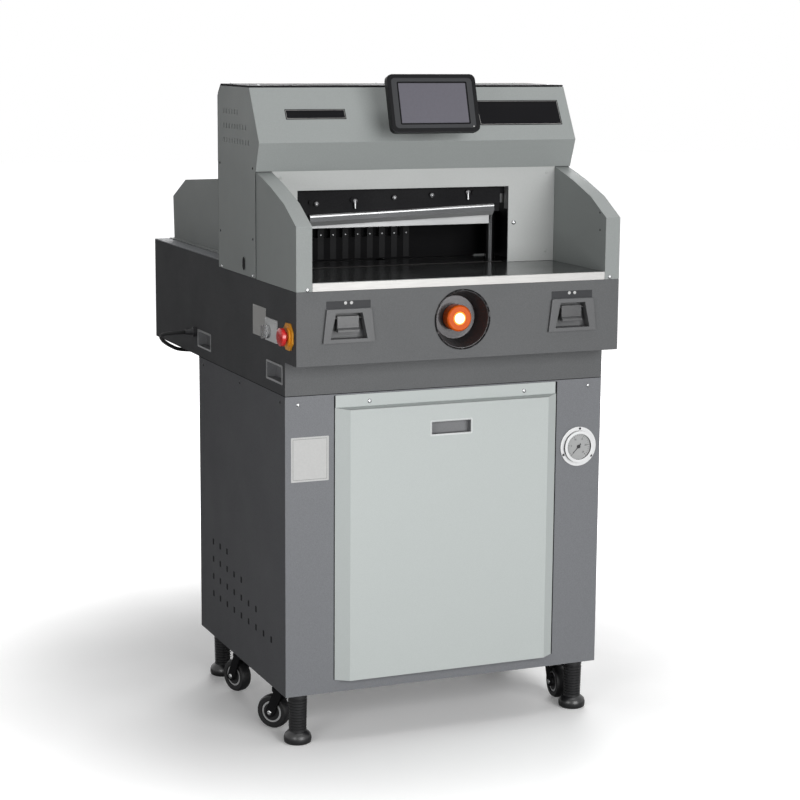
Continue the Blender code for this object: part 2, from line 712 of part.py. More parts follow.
def merged(shapes):
    """Several shapes that don't touch, as one set of cutters."""
    together = bmesh.new()
    for shape in shapes:
        mesh = bpy.data.meshes.new("cutter")
        bmesh.ops.recalc_face_normals(shape, faces=shape.faces)
        shape.to_mesh(mesh)
        shape.free()
        together.from_mesh(mesh)
        bpy.data.meshes.remove(mesh)
    return together


def offset_path(points, distance):
    """An open path of two coordinates, moved sideways with mitred corners, to the left of its run."""
    points = [Vector(point) for point in points]
    runs = [(b - a).normalized() for a, b in zip(points, points[1:])]
    sides = [Vector((-run.y, run.x)) for run in runs]
    moved = [points[0] + sides[0] * distance]
    for point, before, after in zip(points[1:], sides, sides[1:]):
        mitre = (before + after).normalized()
        moved.append(point + mitre * distance / mitre.dot(before))
    moved.append(points[-1] + sides[-1] * distance)
    return moved


def stretched(points, amount):
    """The same open path with both ends carried on along their run."""
    points = [Vector(point) for point in points]
    points[0] -= (points[1] - points[0]).normalized() * amount
    points[-1] += (points[-1] - points[-2]).normalized() * amount
    return points


def circle(radius, centre, sides):
    """Corners of a round outline about a centre of two coordinates."""
    angles = [2 * math.pi * i / sides for i in range(sides)]
    return [(centre[0] + radius * math.cos(a), centre[1] + radius * math.sin(a)) for a in angles]


def vent_slots(sheet_x, first_y, first_z, pitch, row, counts, width, height):
    """Upright slots through both side sheets, in rows of different length."""
    slots = []
    for side in (-1, 1):
        for level, count in enumerate(counts):
            for place in range(count):
                y = first_y - place * pitch
                z = first_z + level * row
                x = side * sheet_x
                low = (x - CUT_OVERRUN, y - width / 2, z - height / 2)
                high = (x + CUT_OVERRUN, y + width / 2, z + height / 2)
                slots.append(box(low, high))
    return slots


def foot_places():
    """Name, X and Y of the four adjustable feet."""
    front, rear = FOOT_YS
    return (
        ("front_left", -FOOT_X, front),
        ("rear_left", -FOOT_X, rear),
        ("front_right", FOOT_X, front),
        ("rear_right", FOOT_X, rear),
    )


def add_cabinet(machine):
    """The sheet box of the lower half, open to the cover in front and to the console above."""
    front, back = CONSOLE_OVERHANG, CABINET_BACK
    cabinet = machine.add("cabinet", box((-HALF, front, FOOT_HEIGHT), (HALF, back, CABINET_TOP)), "dark_grey_paint")
    inset = CABINET_SHEET
    hollow = box(
        (-HALF + inset, front + inset, FOOT_HEIGHT + inset), (HALF - inset, back - inset, CABINET_TOP - inset)
    )
    machine.cut(cabinet, hollow)
    cover_half = COVER_HALF_WIDTH + COVER_SIDE_GAP
    openings = [
        box(
            (-cover_half, front - CUT_OVERRUN, FOOT_HEIGHT + COVER_BOTTOM_RISE),
            (cover_half, front + CUT_OVERRUN, CABINET_TOP - COVER_TOP_DROP),
        ),
        box(
            (-HALF + WELL_RIM, front + WELL_RIM, CABINET_TOP - CUT_OVERRUN),
            (HALF - WELL_RIM, back - WELL_RIM, CABINET_TOP + CUT_OVERRUN),
        ),
        rod(GAUGE_BODY_RADIUS + SEAT_GAP, -CUT_OVERRUN, CUT_OVERRUN, 32, (GAUGE_DIAL_X, front, DIAL_Z), Y_AXIS),
    ]
    for _, x, y in foot_places():
        hole = FOOT_STEM_RADIUS + RUNNING_GAP
        openings.append(rod(hole, -CUT_OVERRUN, CUT_OVERRUN, 16, (x, y, FOOT_HEIGHT)))
    openings += vent_slots(
        HALF,
        CABINET_BACK - CABINET_VENT_BACK,
        FOOT_HEIGHT + CABINET_VENT_FIRST_Z,
        CABINET_VENT_PITCH,
        CABINET_VENT_ROW,
        CABINET_VENT_COUNTS,
        CABINET_VENT_WIDTH,
        CABINET_VENT_HEIGHT,
    )
    machine.cut(cabinet, merged(openings))


def cover_pan(inset, back_y):
    """The raised pan of the cover as a solid, made smaller all round by the inset."""
    face_y = CONSOLE_OVERHANG - COVER_FACE_PROUD + inset
    low = FOOT_HEIGHT + COVER_BOTTOM_RISE + SEAT_GAP + inset
    high = CABINET_TOP - COVER_TOP_DROP - COVER_FLANGE - inset
    half = COVER_HALF_WIDTH - inset
    points = []
    for x in (-half, half):
        for z in (low, high):
            points += [(x, back_y, z), (x, CONSOLE_OVERHANG, z)]
    face_half = half - COVER_SIDE_SLOPE
    for x in (-face_half, face_half):
        points += [(x, face_y, low), (x, face_y, high - COVER_TOP_SLOPE)]
    return hull(points)


def add_front_cover(machine):
    """The service cover: a raised sheet pan with a flange above it and a recessed pull."""
    back = CONSOLE_OVERHANG + COVER_SHEET
    cover = machine.add("front_cover", cover_pan(0, back), "pale_grey_paint")
    flange_top = CABINET_TOP - COVER_TOP_DROP
    flange_half = COVER_HALF_WIDTH - COVER_SHEET
    shift = COVER_SHEET / 3
    flange = box(
        (-flange_half, CONSOLE_OVERHANG + shift, flange_top - COVER_FLANGE * 2),
        (flange_half, back + shift, flange_top - SEAT_GAP),
    )
    machine.join(cover, flange)
    machine.cut(cover, cover_pan(COVER_SHEET, back + CUT_OVERRUN))
    face_y = CONSOLE_OVERHANG - COVER_FACE_PROUD
    top = flange_top - PULL_TOP_DROP
    bottom = top - PULL_HEIGHT
    wall = COVER_SHEET
    cup = box(
        (-PULL_HALF_WIDTH - wall, face_y + wall / 2, bottom - wall),
        (PULL_HALF_WIDTH + wall, face_y + PULL_DEPTH + wall, top + wall),
    )
    machine.join(cover, cup)
    pull = box(
        (-PULL_HALF_WIDTH, face_y - CUT_OVERRUN, bottom), (PULL_HALF_WIDTH, face_y + PULL_DEPTH, top)
    )
    machine.cut(cover, pull)


def grip_boxes(margin, outside):
    """The four recessed grips of the console's sides, grown by a margin and run past the outer face."""
    low = CONSOLE_BOTTOM + GRIP_RISE
    shapes = []
    for side in (-1, 1):
        for front in GRIP_FRONT_YS:
            ends = sorted((side * (HALF + outside), side * (HALF - GRIP_DEPTH - margin)))
            shapes.append(
                box(
                    (ends[0], front - margin, low - margin),
                    (ends[1], front + GRIP_LENGTH + margin, low + GRIP_HEIGHT + margin),
                )
            )
    return shapes


def console_hollow():
    """The console's inside, open at the top."""
    above = CONSOLE_TOP + CUT_OVERRUN + TABLE_RISE
    inside = (
        (SHEET, STEP_Z + SHEET),
        (SHEET, above),
        (MACHINE_DEPTH - SHEET, above),
        (MACHINE_DEPTH - SHEET, CONSOLE_BOTTOM + SHEET),
        (CONSOLE_OVERHANG + SHEET, CONSOLE_BOTTOM + SHEET),
        (CONSOLE_OVERHANG + SHEET, STEP_Z + SHEET),
    )
    return prism(inside, "X", -HALF + SHEET, HALF - SHEET)


def add_console_shell(machine):
    """The sheet console that carries the table and the controls, with the cable clip under its rear."""
    side = (
        (0, STEP_Z),
        (0, CONSOLE_TOP),
        (HEAD_FRONT_Y, CONSOLE_TOP),
        (HEAD_FRONT_Y, SIDE_TOP),
        (MACHINE_DEPTH, SIDE_TOP),
        (MACHINE_DEPTH, CONSOLE_BOTTOM),
        (CONSOLE_OVERHANG, CONSOLE_BOTTOM),
        (CONSOLE_OVERHANG, STEP_Z),
    )
    shell = machine.add("console_shell", prism(side, "X", -HALF, HALF), "dark_grey_paint")
    machine.cut(shell, console_hollow())
    machine.join(shell, merged(grip_boxes(SHEET, -SHEET / 2)))
    machine.cut(shell, merged(grip_boxes(0, CUT_OVERRUN)))
    hole = CORD_RADIUS + CLIP_GAP
    clip = box(
        (CLIP_X - CLIP_HALF_WIDTH, CLIP_Y - hole - CLIP_SHEET, CORD_CLIP_Z - hole - CLIP_SHEET),
        (CLIP_X + CLIP_HALF_WIDTH, CLIP_Y + hole + CLIP_SHEET, CONSOLE_BOTTOM + SHEET / 2),
    )
    machine.join(shell, clip)
    machine.cut(shell, merged(console_openings()))


def console_openings():
    """Every hole of the console: controls, cable entry, cable clip and the well over the cabinet."""
    hole = CORD_RADIUS + CLIP_GAP
    left = -HALF
    openings = [
        box(
            (-HALF + CONSOLE_RIM, CONSOLE_OVERHANG + CONSOLE_RIM, CONSOLE_BOTTOM - CUT_OVERRUN),
            (HALF - CONSOLE_RIM, CABINET_BACK - CONSOLE_RIM, CONSOLE_BOTTOM + CUT_OVERRUN),
        ),
        box(
            (CLIP_X - CLIP_HALF_WIDTH - CUT_OVERRUN, CLIP_Y - hole, CORD_CLIP_Z - hole),
            (CLIP_X + CLIP_HALF_WIDTH + CUT_OVERRUN, CLIP_Y + hole, CORD_CLIP_Z + hole),
        ),
        rod(WELL_RADIUS + SEAT_GAP, -CUT_OVERRUN, CUT_OVERRUN, 48, (0, 0, WELL_Z), Y_AXIS),
        rod(STOP_STEM_RADIUS + RUNNING_GAP, -CUT_OVERRUN, CUT_OVERRUN, 24, (left, STOP_Y, STOP_Z), X_AXIS),
        rod(
            ISOLATOR_SPINDLE_RADIUS + RUNNING_GAP,
            -CUT_OVERRUN,
            CUT_OVERRUN,
            16,
            (left, ISOLATOR_KNOB_Y, ISOLATOR_KNOB_Z),
            X_AXIS,
        ),
        rod(GLAND_SHANK_RADIUS + SEAT_GAP, -CUT_OVERRUN, CUT_OVERRUN, 24, (left, GLAND_Y, GLAND_Z), X_AXIS),
    ]
    for side in (-1, 1):
        outline = switch_outline(side, SWITCH_BODY_MARGIN - SEAT_GAP)
        openings.append(prism(outline, "Y", -CUT_OVERRUN, CUT_OVERRUN))
    return openings


def switch_outline(side, margin):
    """The trapezoid of a switch bezel, made smaller all round by a margin."""
    centre = side * SWITCH_OUT
    top = SWITCH_TOP - margin
    bottom = SWITCH_TOP - SWITCH_HEIGHT + margin
    wide = SWITCH_BOTTOM_HALF - margin
    narrow = SWITCH_TOP_HALF - margin
    return (
        (centre - wide, bottom),
        (centre + wide, bottom),
        (centre + narrow, top),
        (centre - narrow, top),
    )


def add_table(machine):
    """The cast table: a thick plate on two cheeks that stand on the cabinet."""
    front = STRIP_THICKNESS + SEAT_GAP
    plate = box((-TABLE_HALF, front, TABLE_UNDERSIDE), (TABLE_HALF, TABLE_BACK_Y, TABLE_Z))
    table = machine.add("table", plate, "polished_iron")
    cheeks = []
    for side in (-1, 1):
        ends = sorted((side * TABLE_CHEEK_OUT, side * (TABLE_CHEEK_OUT - TABLE_CHEEK)))
        cheek_top = (TABLE_UNDERSIDE + TABLE_Z) / 2
        low = (ends[0], TABLE_CHEEK_FRONT, CABINET_TOP + SEAT_GAP)
        cheeks.append(box(low, (ends[1], TABLE_BACK_Y - CUT_OVERRUN, cheek_top)))
    machine.join(table, merged(cheeks))
    middle = THROAT_CENTRE_X
    deep = TABLE_PLATE + CUT_OVERRUN
    holes = [
        box(
            (middle - STICK_HALF_LENGTH, STICK_FRONT_Y, TABLE_Z - STICK_DEPTH),
            (middle + STICK_HALF_LENGTH, STICK_FRONT_Y + STICK_WIDTH, TABLE_Z + CUT_OVERRUN),
        ),
        box(
            (middle - SLOT_HALF, SLOT_FRONT, TABLE_Z - deep),
            (middle + SLOT_HALF, TABLE_BACK_Y + CUT_OVERRUN, TABLE_Z + CUT_OVERRUN),
        ),
        rod(PULL_ROD_RADIUS + RUNNING_GAP, -deep, CUT_OVERRUN, 24, (KNIFE_PIN_X, PULL_ROD_Y, TABLE_Z)),
    ]
    for side in (-1, 1):
        place = (middle + side * CLAMP_ROD_OUT, CLAMP_ROD_Y, TABLE_Z)
        holes.append(rod(CLAMP_ROD_RADIUS + RUNNING_GAP, -deep, CUT_OVERRUN, 24, place))
    machine.cut(table, merged(holes))


def add_table_fittings(machine):
    """The edge strip, the cutting stick in its groove and the sheet table behind."""
    strip_low = CONSOLE_TOP + SEAT_GAP
    strip = box((-TABLE_HALF, 0, strip_low), (TABLE_HALF, STRIP_THICKNESS, strip_low + STRIP_HEIGHT))
    machine.add("table_edge_strip", strip, "brushed_aluminium")
    middle = THROAT_CENTRE_X
    stick = box(
        (
            middle - STICK_HALF_LENGTH + SEAT_GAP,
            STICK_FRONT_Y + SEAT_GAP,
            TABLE_Z - STICK_DEPTH + SEAT_GAP,
        ),
        (middle + STICK_HALF_LENGTH - SEAT_GAP, STICK_FRONT_Y + STICK_WIDTH - SEAT_GAP, TABLE_Z),
    )
    machine.add("cutting_stick", stick, "stick_plastic")
    front = TABLE_BACK_Y + SEAT_GAP
    sheet = box((-HALF, front, TABLE_Z - REAR_TABLE_SHEET), (HALF, MACHINE_DEPTH, TABLE_Z))
    rear = machine.add("rear_table", sheet, "mid_grey_paint")
    slot = box(
        (middle - SLOT_HALF, front - CUT_OVERRUN, TABLE_Z - CUT_OVERRUN),
        (middle + SLOT_HALF, SLOT_BACK, TABLE_Z + CUT_OVERRUN),
    )
    machine.cut(rear, slot)


def guard_outline():
    """Side outline of a guard's top: up the front, over the curve and down the rear."""
    rear_y = HEAD_FRONT_Y - SEAT_GAP
    front_top = CONSOLE_TOP + GUARD_FRONT_HEIGHT
    rear_top = BROW_Z - SEAT_GAP
    low = CONSOLE_TOP + SEAT_GAP
    curve = [(rear_y * y, rear_top - (rear_top - front_top) * drop) for y, drop in GUARD_CURVE_SHARES]
    return [(0, low), (0, front_top)] + curve + [(rear_y, rear_top), (rear_y, low)]


def add_guards(machine):
    """The two hollow sheet guards beside the throat, open below."""
    for name, side in (("left_guard", -1), ("right_guard", 1)):
        ends = sorted((side * HALF, side * (HALF - GUARD_THICKNESS)))
        path = guard_outline()
        guard = machine.add(name, prism(path, "X", *ends), "mid_grey_paint")
        inner = stretched(offset_path(path, -GUARD_SHEET), CUT_OVERRUN)
        machine.cut(guard, prism(inner, "X", ends[0] + GUARD_SHEET, ends[1] - GUARD_SHEET))


def add_head_hood(machine):
    """The sheet hood of the head: two sides and the folded fascia."""
    fascia = ((BROW_Y, BROW_Z), (CREASE_Y, CREASE_Z), (FASCIA_TOP_Y, HEAD_TOP))
    outline = [
        (HEAD_FRONT_Y, HEAD_BOTTOM),
        (HEAD_FRONT_Y, BROW_Z),
        *fascia,
        (HEAD_BACK - HEAD_CHAMFER, HEAD_TOP),
        (HEAD_BACK, HEAD_TOP - HEAD_CHAMFER),
        (HEAD_BACK, HEAD_BOTTOM),
    ]
    hood = machine.add("head_hood", prism(outline, "X", -HEAD_HALF, HEAD_HALF), "head_grey_paint")
    inner_fascia = stretched(offset_path(fascia, -HEAD_SHEET), CUT_OVERRUN)
    behind = HEAD_BACK + CUT_OVERRUN
    below = HEAD_BOTTOM - CUT_OVERRUN
    ahead = CREASE_Y
    inner = [
        (ahead, below),
        (ahead, inner_fascia[0].y),
        *inner_fascia,
        (behind, inner_fascia[-1].y),
        (behind, below),
    ]
    machine.cut(hood, prism(inner, "X", -HEAD_INNER, HEAD_INNER))
    slots = vent_slots(
        HEAD_HALF,
        HEAD_BACK - HEAD_VENT_BACK,
        HEAD_TOP - HEAD_VENT_TOP_DROP,
        HEAD_VENT_PITCH,
        -HEAD_VENT_ROW,
        HEAD_VENT_COUNTS,
        HEAD_VENT_WIDTH,
        HEAD_VENT_HEIGHT,
    )
    machine.cut(hood, merged(slots))


def add_head_panels(machine):
    """The lid, the back panel and the plate round the throat."""
    crown = (
        (FASCIA_TOP_Y + LID_INSET, HEAD_TOP),
        (HEAD_BACK - HEAD_CHAMFER, HEAD_TOP),
        (HEAD_BACK, HEAD_TOP - HEAD_CHAMFER),
    )
    lower = offset_path(crown, SEAT_GAP)
    upper = offset_path(crown, SEAT_GAP + LID_THICKNESS)
    lid_half = HEAD_HALF - LID_INSET
    machine.add("head_lid", prism(lower + upper[::-1], "X", -lid_half, lid_half), "black_paint")
    front = HEAD_BACK + SEAT_GAP
    low = TABLE_Z + SEAT_GAP
    panel = box((-HEAD_HALF, front, low), (HEAD_HALF, front + HEAD_SHEET, HEAD_TOP - HEAD_CHAMFER))
    back_panel = machine.add("head_back_panel", panel, "head_grey_paint")
    opening = box(
        (-BACK_OPENING_HALF, front - CUT_OVERRUN, low - CUT_OVERRUN),
        (BACK_OPENING_HALF, front + CUT_OVERRUN, TABLE_Z + BACK_OPENING_HEIGHT),
    )
    machine.cut(back_panel, opening)
    fascia_back = BROW_Y + HEAD_SHEET + SEAT_GAP
    top = BROW_Z + FRONT_PLATE_TUCK
    plate = box((-TABLE_HALF, fascia_back, low), (TABLE_HALF, fascia_back + FRONT_PLATE_SHEET, top))
    front_plate = machine.add("front_plate", plate, "head_grey_paint")
    throat = box(
        (THROAT_CENTRE_X - THROAT_HALF_WIDTH, fascia_back - CUT_OVERRUN, low - CUT_OVERRUN),
        (THROAT_CENTRE_X + THROAT_HALF_WIDTH, fascia_back + CUT_OVERRUN, TABLE_Z + THROAT_HEIGHT),
    )
    machine.cut(front_plate, throat)


def add_portal_frame(machine):
    """The cast arch inside the head that guides the clamp and the knife."""
    middle = THROAT_CENTRE_X
    inner, outer = PORTAL_HALF_GAP, PORTAL_HALF_GAP + PORTAL_LEG
    low = TABLE_Z + SEAT_GAP
    top = low + PORTAL_HEIGHT
    beam = top - PORTAL_BEAM
    outline = [
        (middle - outer, low),
        (middle - inner, low),
        (middle - inner, beam),
        (middle + inner, beam),
        (middle + inner, low),
        (middle + outer, low),
        (middle + outer, top),
        (middle - outer, top),
    ]
    portal = machine.add("portal_frame", prism(outline, "Y", PORTAL_FRONT_Y, PORTAL_BACK), "cast_iron")
    relief = box(
        (middle - inner, PORTAL_FRONT_Y - CUT_OVERRUN, beam - CUT_OVERRUN),
        (middle + inner, PORTAL_FRONT_Y + PORTAL_BEAM_FRONT, top + CUT_OVERRUN),
    )
    machine.cut(portal, relief)


def add_rear_guards(machine):
    """The two sheet guards that stand on the rear table with a turned-out foot."""
    front = HEAD_BACK + SEAT_GAP + HEAD_SHEET + SEAT_GAP
    low = TABLE_Z + SEAT_GAP
    length = MACHINE_DEPTH - front
    outline = [(front + length * y, low + REAR_GUARD_HEIGHT * z) for y, z in REAR_GUARD_SHARES]
    for name, side in (("rear_guard_left", -1), ("rear_guard_right", 1)):
        inner = side * REAR_GUARD_OUT
        ends = sorted((inner, inner + side * REAR_GUARD_SHEET))
        guard = machine.add(name, prism(outline, "X", *ends), "mid_grey_paint")
        foot_ends = sorted((inner + side * REAR_GUARD_SHEET / 2, inner + side * REAR_GUARD_FOOT))
        foot = box(
            (foot_ends[0], outline[-1][0], low), (foot_ends[1], outline[0][0], low + REAR_GUARD_SHEET)
        )
        machine.join(guard, foot)


def add_knife_crosshead(machine):
    """The slide block at the right of the throat, with the knife's pin and the pull rod."""
    origin = (KNIFE_PIN_X, PULL_ROD_Y, KNIFE_PIN_Z)
    block = box(
        (KNIFE_PIN_X - CROSSHEAD_HALF_WIDTH, KNIFE_FRONT_Y, KNIFE_PIN_Z - CROSSHEAD_BELOW_PIN),
        (KNIFE_PIN_X + CROSSHEAD_HALF_WIDTH, CROSSHEAD_BACK_Y, KNIFE_PIN_Z + CROSSHEAD_ABOVE_PIN),
    )
    crosshead = machine.add("knife_crosshead", block, "ground_steel", origin)
    pin_start = PULL_ROD_Y - KNIFE_FRONT_Y
    pin_end = CARRIER_BACK_Y - PULL_ROD_Y
    machine.join(crosshead, rod(KNIFE_PIN_RADIUS, -pin_start / 2, pin_end, 24, (0, 0, 0), Y_AXIS))
    rod_end = PULL_ROD_END_Z - KNIFE_PIN_Z
    rod_start = -CROSSHEAD_BELOW_PIN + CROSSHEAD_HALF_WIDTH / 2
    machine.join(crosshead, rod(PULL_ROD_RADIUS, rod_end, rod_start, 24, (0, 0, 0)))


def add_knife(machine):
    """The carrier and the blade, modelled level about the pin and then turned to the raised tilt."""
    pin = (KNIFE_PIN_X, PULL_ROD_Y, KNIFE_PIN_Z)
    tilt = (0, -KNIFE_TILT, 0)
    middle = -KNIFE_PIN_OUT
    edge = -KNIFE_PIN_ABOVE_EDGE
    blade_top = edge + KNIFE_HEIGHT
    front = CARRIER_FRONT_Y - PULL_ROD_Y
    back = CARRIER_BACK_Y - PULL_ROD_Y
    step = KNIFE_FRONT_Y + KNIFE_THICKNESS + SEAT_GAP - PULL_ROD_Y
    rest = blade_top + SEAT_GAP
    section = (
        (front, rest),
        (step, rest),
        (step, blade_top - CARRIER_TONGUE),
        (back, blade_top - CARRIER_TONGUE),
        (back, edge + CARRIER_TOP_ABOVE_KNIFE),
        (front, edge + CARRIER_TOP_ABOVE_KNIFE),
    )
    left = middle - CARRIER_HALF_LENGTH - CARRIER_END_OVERHANG
    right = middle + CARRIER_HALF_LENGTH
    carrier = machine.add_local("knife_carrier", prism(section, "X", left, right), "cast_iron", pin, tilt)
    ear = box(
        (right - CARRIER_EAR_OVERLAP, CARRIER_EAR_FRONT_Y - PULL_ROD_Y, -CARRIER_EAR_DROP),
        (CARRIER_EAR_END, back, CARRIER_EAR_DROP),
    )
    machine.join(carrier, ear)
    eye = rod(KNIFE_PIN_RADIUS + RUNNING_GAP, -back, back + CUT_OVERRUN, 24, (0, 0, 0), Y_AXIS)
    machine.cut(carrier, eye)
    heads = []
    for share in KNIFE_SCREW_PLACE_SHARES:
        place = (middle + share * CARRIER_HALF_LENGTH, front, blade_top + KNIFE_SCREW_RISE)
        heads.append(rod(KNIFE_SCREW_RADIUS, -KNIFE_SCREW_HEAD, KNIFE_SCREW_HEAD, 16, place, Y_AXIS))
    machine.join(carrier, merged(heads))
    face = KNIFE_FRONT_Y - PULL_ROD_Y
    rear = face + KNIFE_THICKNESS
    blade = (
        (rear, edge),
        (rear, blade_top),
        (face + KNIFE_TOP_CHAMFER, blade_top),
        (face, blade_top - KNIFE_TOP_CHAMFER),
        (face, edge + KNIFE_THICKNESS),
        (rear - KNIFE_LAND, edge),
    )
    ends = (middle - KNIFE_HALF_LENGTH, middle + KNIFE_HALF_LENGTH)
    machine.add_local("knife", prism(blade, "X", *ends), "ground_steel", pin, tilt)


def add_clamp(machine):
    """The clamp beam over the table, the yoke under it with its two rods, and the piston."""
    middle = THROAT_CENTRE_X
    low = CLAMP_SOLE_Z
    step = low + CLAMP_SOLE_HEIGHT
    top = step + CLAMP_BODY_HEIGHT
    wide = PORTAL_HALF_GAP - RUNNING_GAP
    sole = CLAMP_SOLE_HALF_LENGTH
    outline = [
        (middle - sole, low),
        (middle + sole, low),
        (middle + sole, step),
        (middle + wide, step),
        (middle + wide, top),
        (middle - wide, top),
        (middle - wide, step),
        (middle - sole, step),
    ]
    origin = (middle, CLAMP_ROD_Y, low)
    machine.add("clamp_beam", prism(outline, "Y", CLAMP_FRONT_Y, CLAMP_BACK_Y), "ground_steel", origin)
    bar_low = YOKE_TOP_Z - YOKE_HEIGHT
    bar = box(
        (middle - YOKE_HALF_LENGTH, CLAMP_ROD_Y - YOKE_HALF_DEPTH, bar_low),
        (middle + YOKE_HALF_LENGTH, CLAMP_ROD_Y + YOKE_HALF_DEPTH, YOKE_TOP_Z),
    )
    yoke = machine.add("clamp_yoke", bar, "chrome", origin)
    inside = YOKE_TOP_Z - YOKE_HEIGHT / 2 - low
    rods = []
    for side in (-1, 1):
        rods.append(rod(CLAMP_ROD_RADIUS, inside, step - SEAT_GAP - low, 24, (side * CLAMP_ROD_OUT, 0, 0)))
    rods.append(rod(CLAMP_PISTON_RADIUS, bar_low - CLAMP_PISTON_LENGTH - low, inside, 24, (0, 0, 0)))
    machine.join(yoke, merged(rods))


def add_cylinders(machine):
    """The knife cylinder under the table and the clamp cylinder between the table's cheeks."""
    top = TABLE_UNDERSIDE - SEAT_GAP
    bore = PULL_ROD_RADIUS + RUNNING_GAP
    floor = top - KNIFE_CYLINDER_LENGTH
    profile = (
        (0, floor),
        (KNIFE_CYLINDER_RADIUS, floor),
        (KNIFE_CYLINDER_RADIUS, top - KNIFE_CYLINDER_FLANGE),
        (KNIFE_CYLINDER_FLANGE_HALF, top - KNIFE_CYLINDER_FLANGE),
        (KNIFE_CYLINDER_FLANGE_HALF, top),
        (bore, top),
        (bore, floor + CYLINDER_END_WALL),
        (0, floor + CYLINDER_END_WALL),
    )
    place = Matrix.Translation((KNIFE_PIN_X, PULL_ROD_Y, 0))
    machine.add("knife_cylinder", turned(profile, 24, place), "chrome")
    half = TABLE_CHEEK_OUT - TABLE_CHEEK - SEAT_GAP
    high = CLAMP_FLANGE_TOP_Z
    plate = box(
        (-half, CLAMP_ROD_Y - CLAMP_FLANGE_HALF_DEPTH, high - CLAMP_FLANGE),
        (half, CLAMP_ROD_Y + CLAMP_FLANGE_HALF_DEPTH, high),
    )
    cylinder = machine.add("clamp_cylinder", plate, "cast_iron")
    place = (THROAT_CENTRE_X, CLAMP_ROD_Y, high)
    machine.join(cylinder, rod(CLAMP_CYLINDER_RADIUS, -CLAMP_CYLINDER_LENGTH, -CLAMP_FLANGE / 2, 32, place))
    bore = CLAMP_PISTON_RADIUS + RUNNING_GAP
    machine.cut(cylinder, rod(bore, CYLINDER_END_WALL - CLAMP_CYLINDER_LENGTH, CUT_OVERRUN, 24, place))


def add_gauge_rails(machine):
    """The two bearing blocks under the tables and the rods between them, with the motor behind."""
    middle = THROAT_CENTRE_X
    low = SCREW_Z - BEARING_BELOW_AXIS
    front_end = FRONT_BEARING_Y + BEARING_DEPTH
    front = box(
        (middle - BEARING_HALF_WIDTH, FRONT_BEARING_Y, low),
        (middle + BEARING_HALF_WIDTH, front_end, TABLE_UNDERSIDE - SEAT_GAP),
    )
    rails = machine.add("gauge_rails", front, "ground_steel")
    run = REAR_BEARING_Y - FRONT_BEARING_Y + BEARING_DEPTH / 2
    pair = []
    for side in (-1, 1):
        place = (middle + side * RAIL_OUT, FRONT_BEARING_Y, SCREW_Z)
        pair.append(rod(RAIL_RADIUS, BEARING_DEPTH / 2, run, 20, place, Y_AXIS))
    machine.join(rails, merged(pair))
    rear_end = REAR_BEARING_Y + BEARING_DEPTH
    rear_top = TABLE_Z - REAR_TABLE_SHEET - SEAT_GAP
    rear = box(
        (middle - BEARING_HALF_WIDTH, REAR_BEARING_Y, low), (middle + BEARING_HALF_WIDTH, rear_end, rear_top)
    )
    machine.join(rails, rear)
    hole = SCREW_RADIUS + RUNNING_GAP
    through = rear_end + CUT_OVERRUN
    machine.cut(rails, rod(hole, FRONT_BEARING_Y - CUT_OVERRUN, through, 24, (middle, 0, SCREW_Z), Y_AXIS))
    half, edge = MOTOR_HALF_WIDTH, MOTOR_EDGE
    corners = []
    for x_side, z_side in ((1, 1), (-1, 1), (-1, -1), (1, -1)):
        along = (x_side * (half - edge), z_side * half)
        across = (x_side * half, z_side * (half - edge))
        pair = (across, along) if x_side == z_side else (along, across)
        corners += [(middle + x, SCREW_Z + z) for x, z in pair]
    start = rear_end + SEAT_GAP
    machine.add("gauge_motor", prism(corners, "Y", start, start + MOTOR_LENGTH), "black_paint")


def add_lead_screw(machine):
    """The screw that drives the back gauge, its origin on the axis."""
    start = FRONT_BEARING_Y - CUT_OVERRUN
    end = REAR_BEARING_Y + BEARING_DEPTH - SEAT_GAP * 2
    place = (THROAT_CENTRE_X, start, SCREW_Z)
    screw = rod(SCREW_RADIUS, 0, end - start, 24, (0, 0, 0), Y_AXIS)
    machine.add_local("lead_screw", screw, "ground_steel", place)


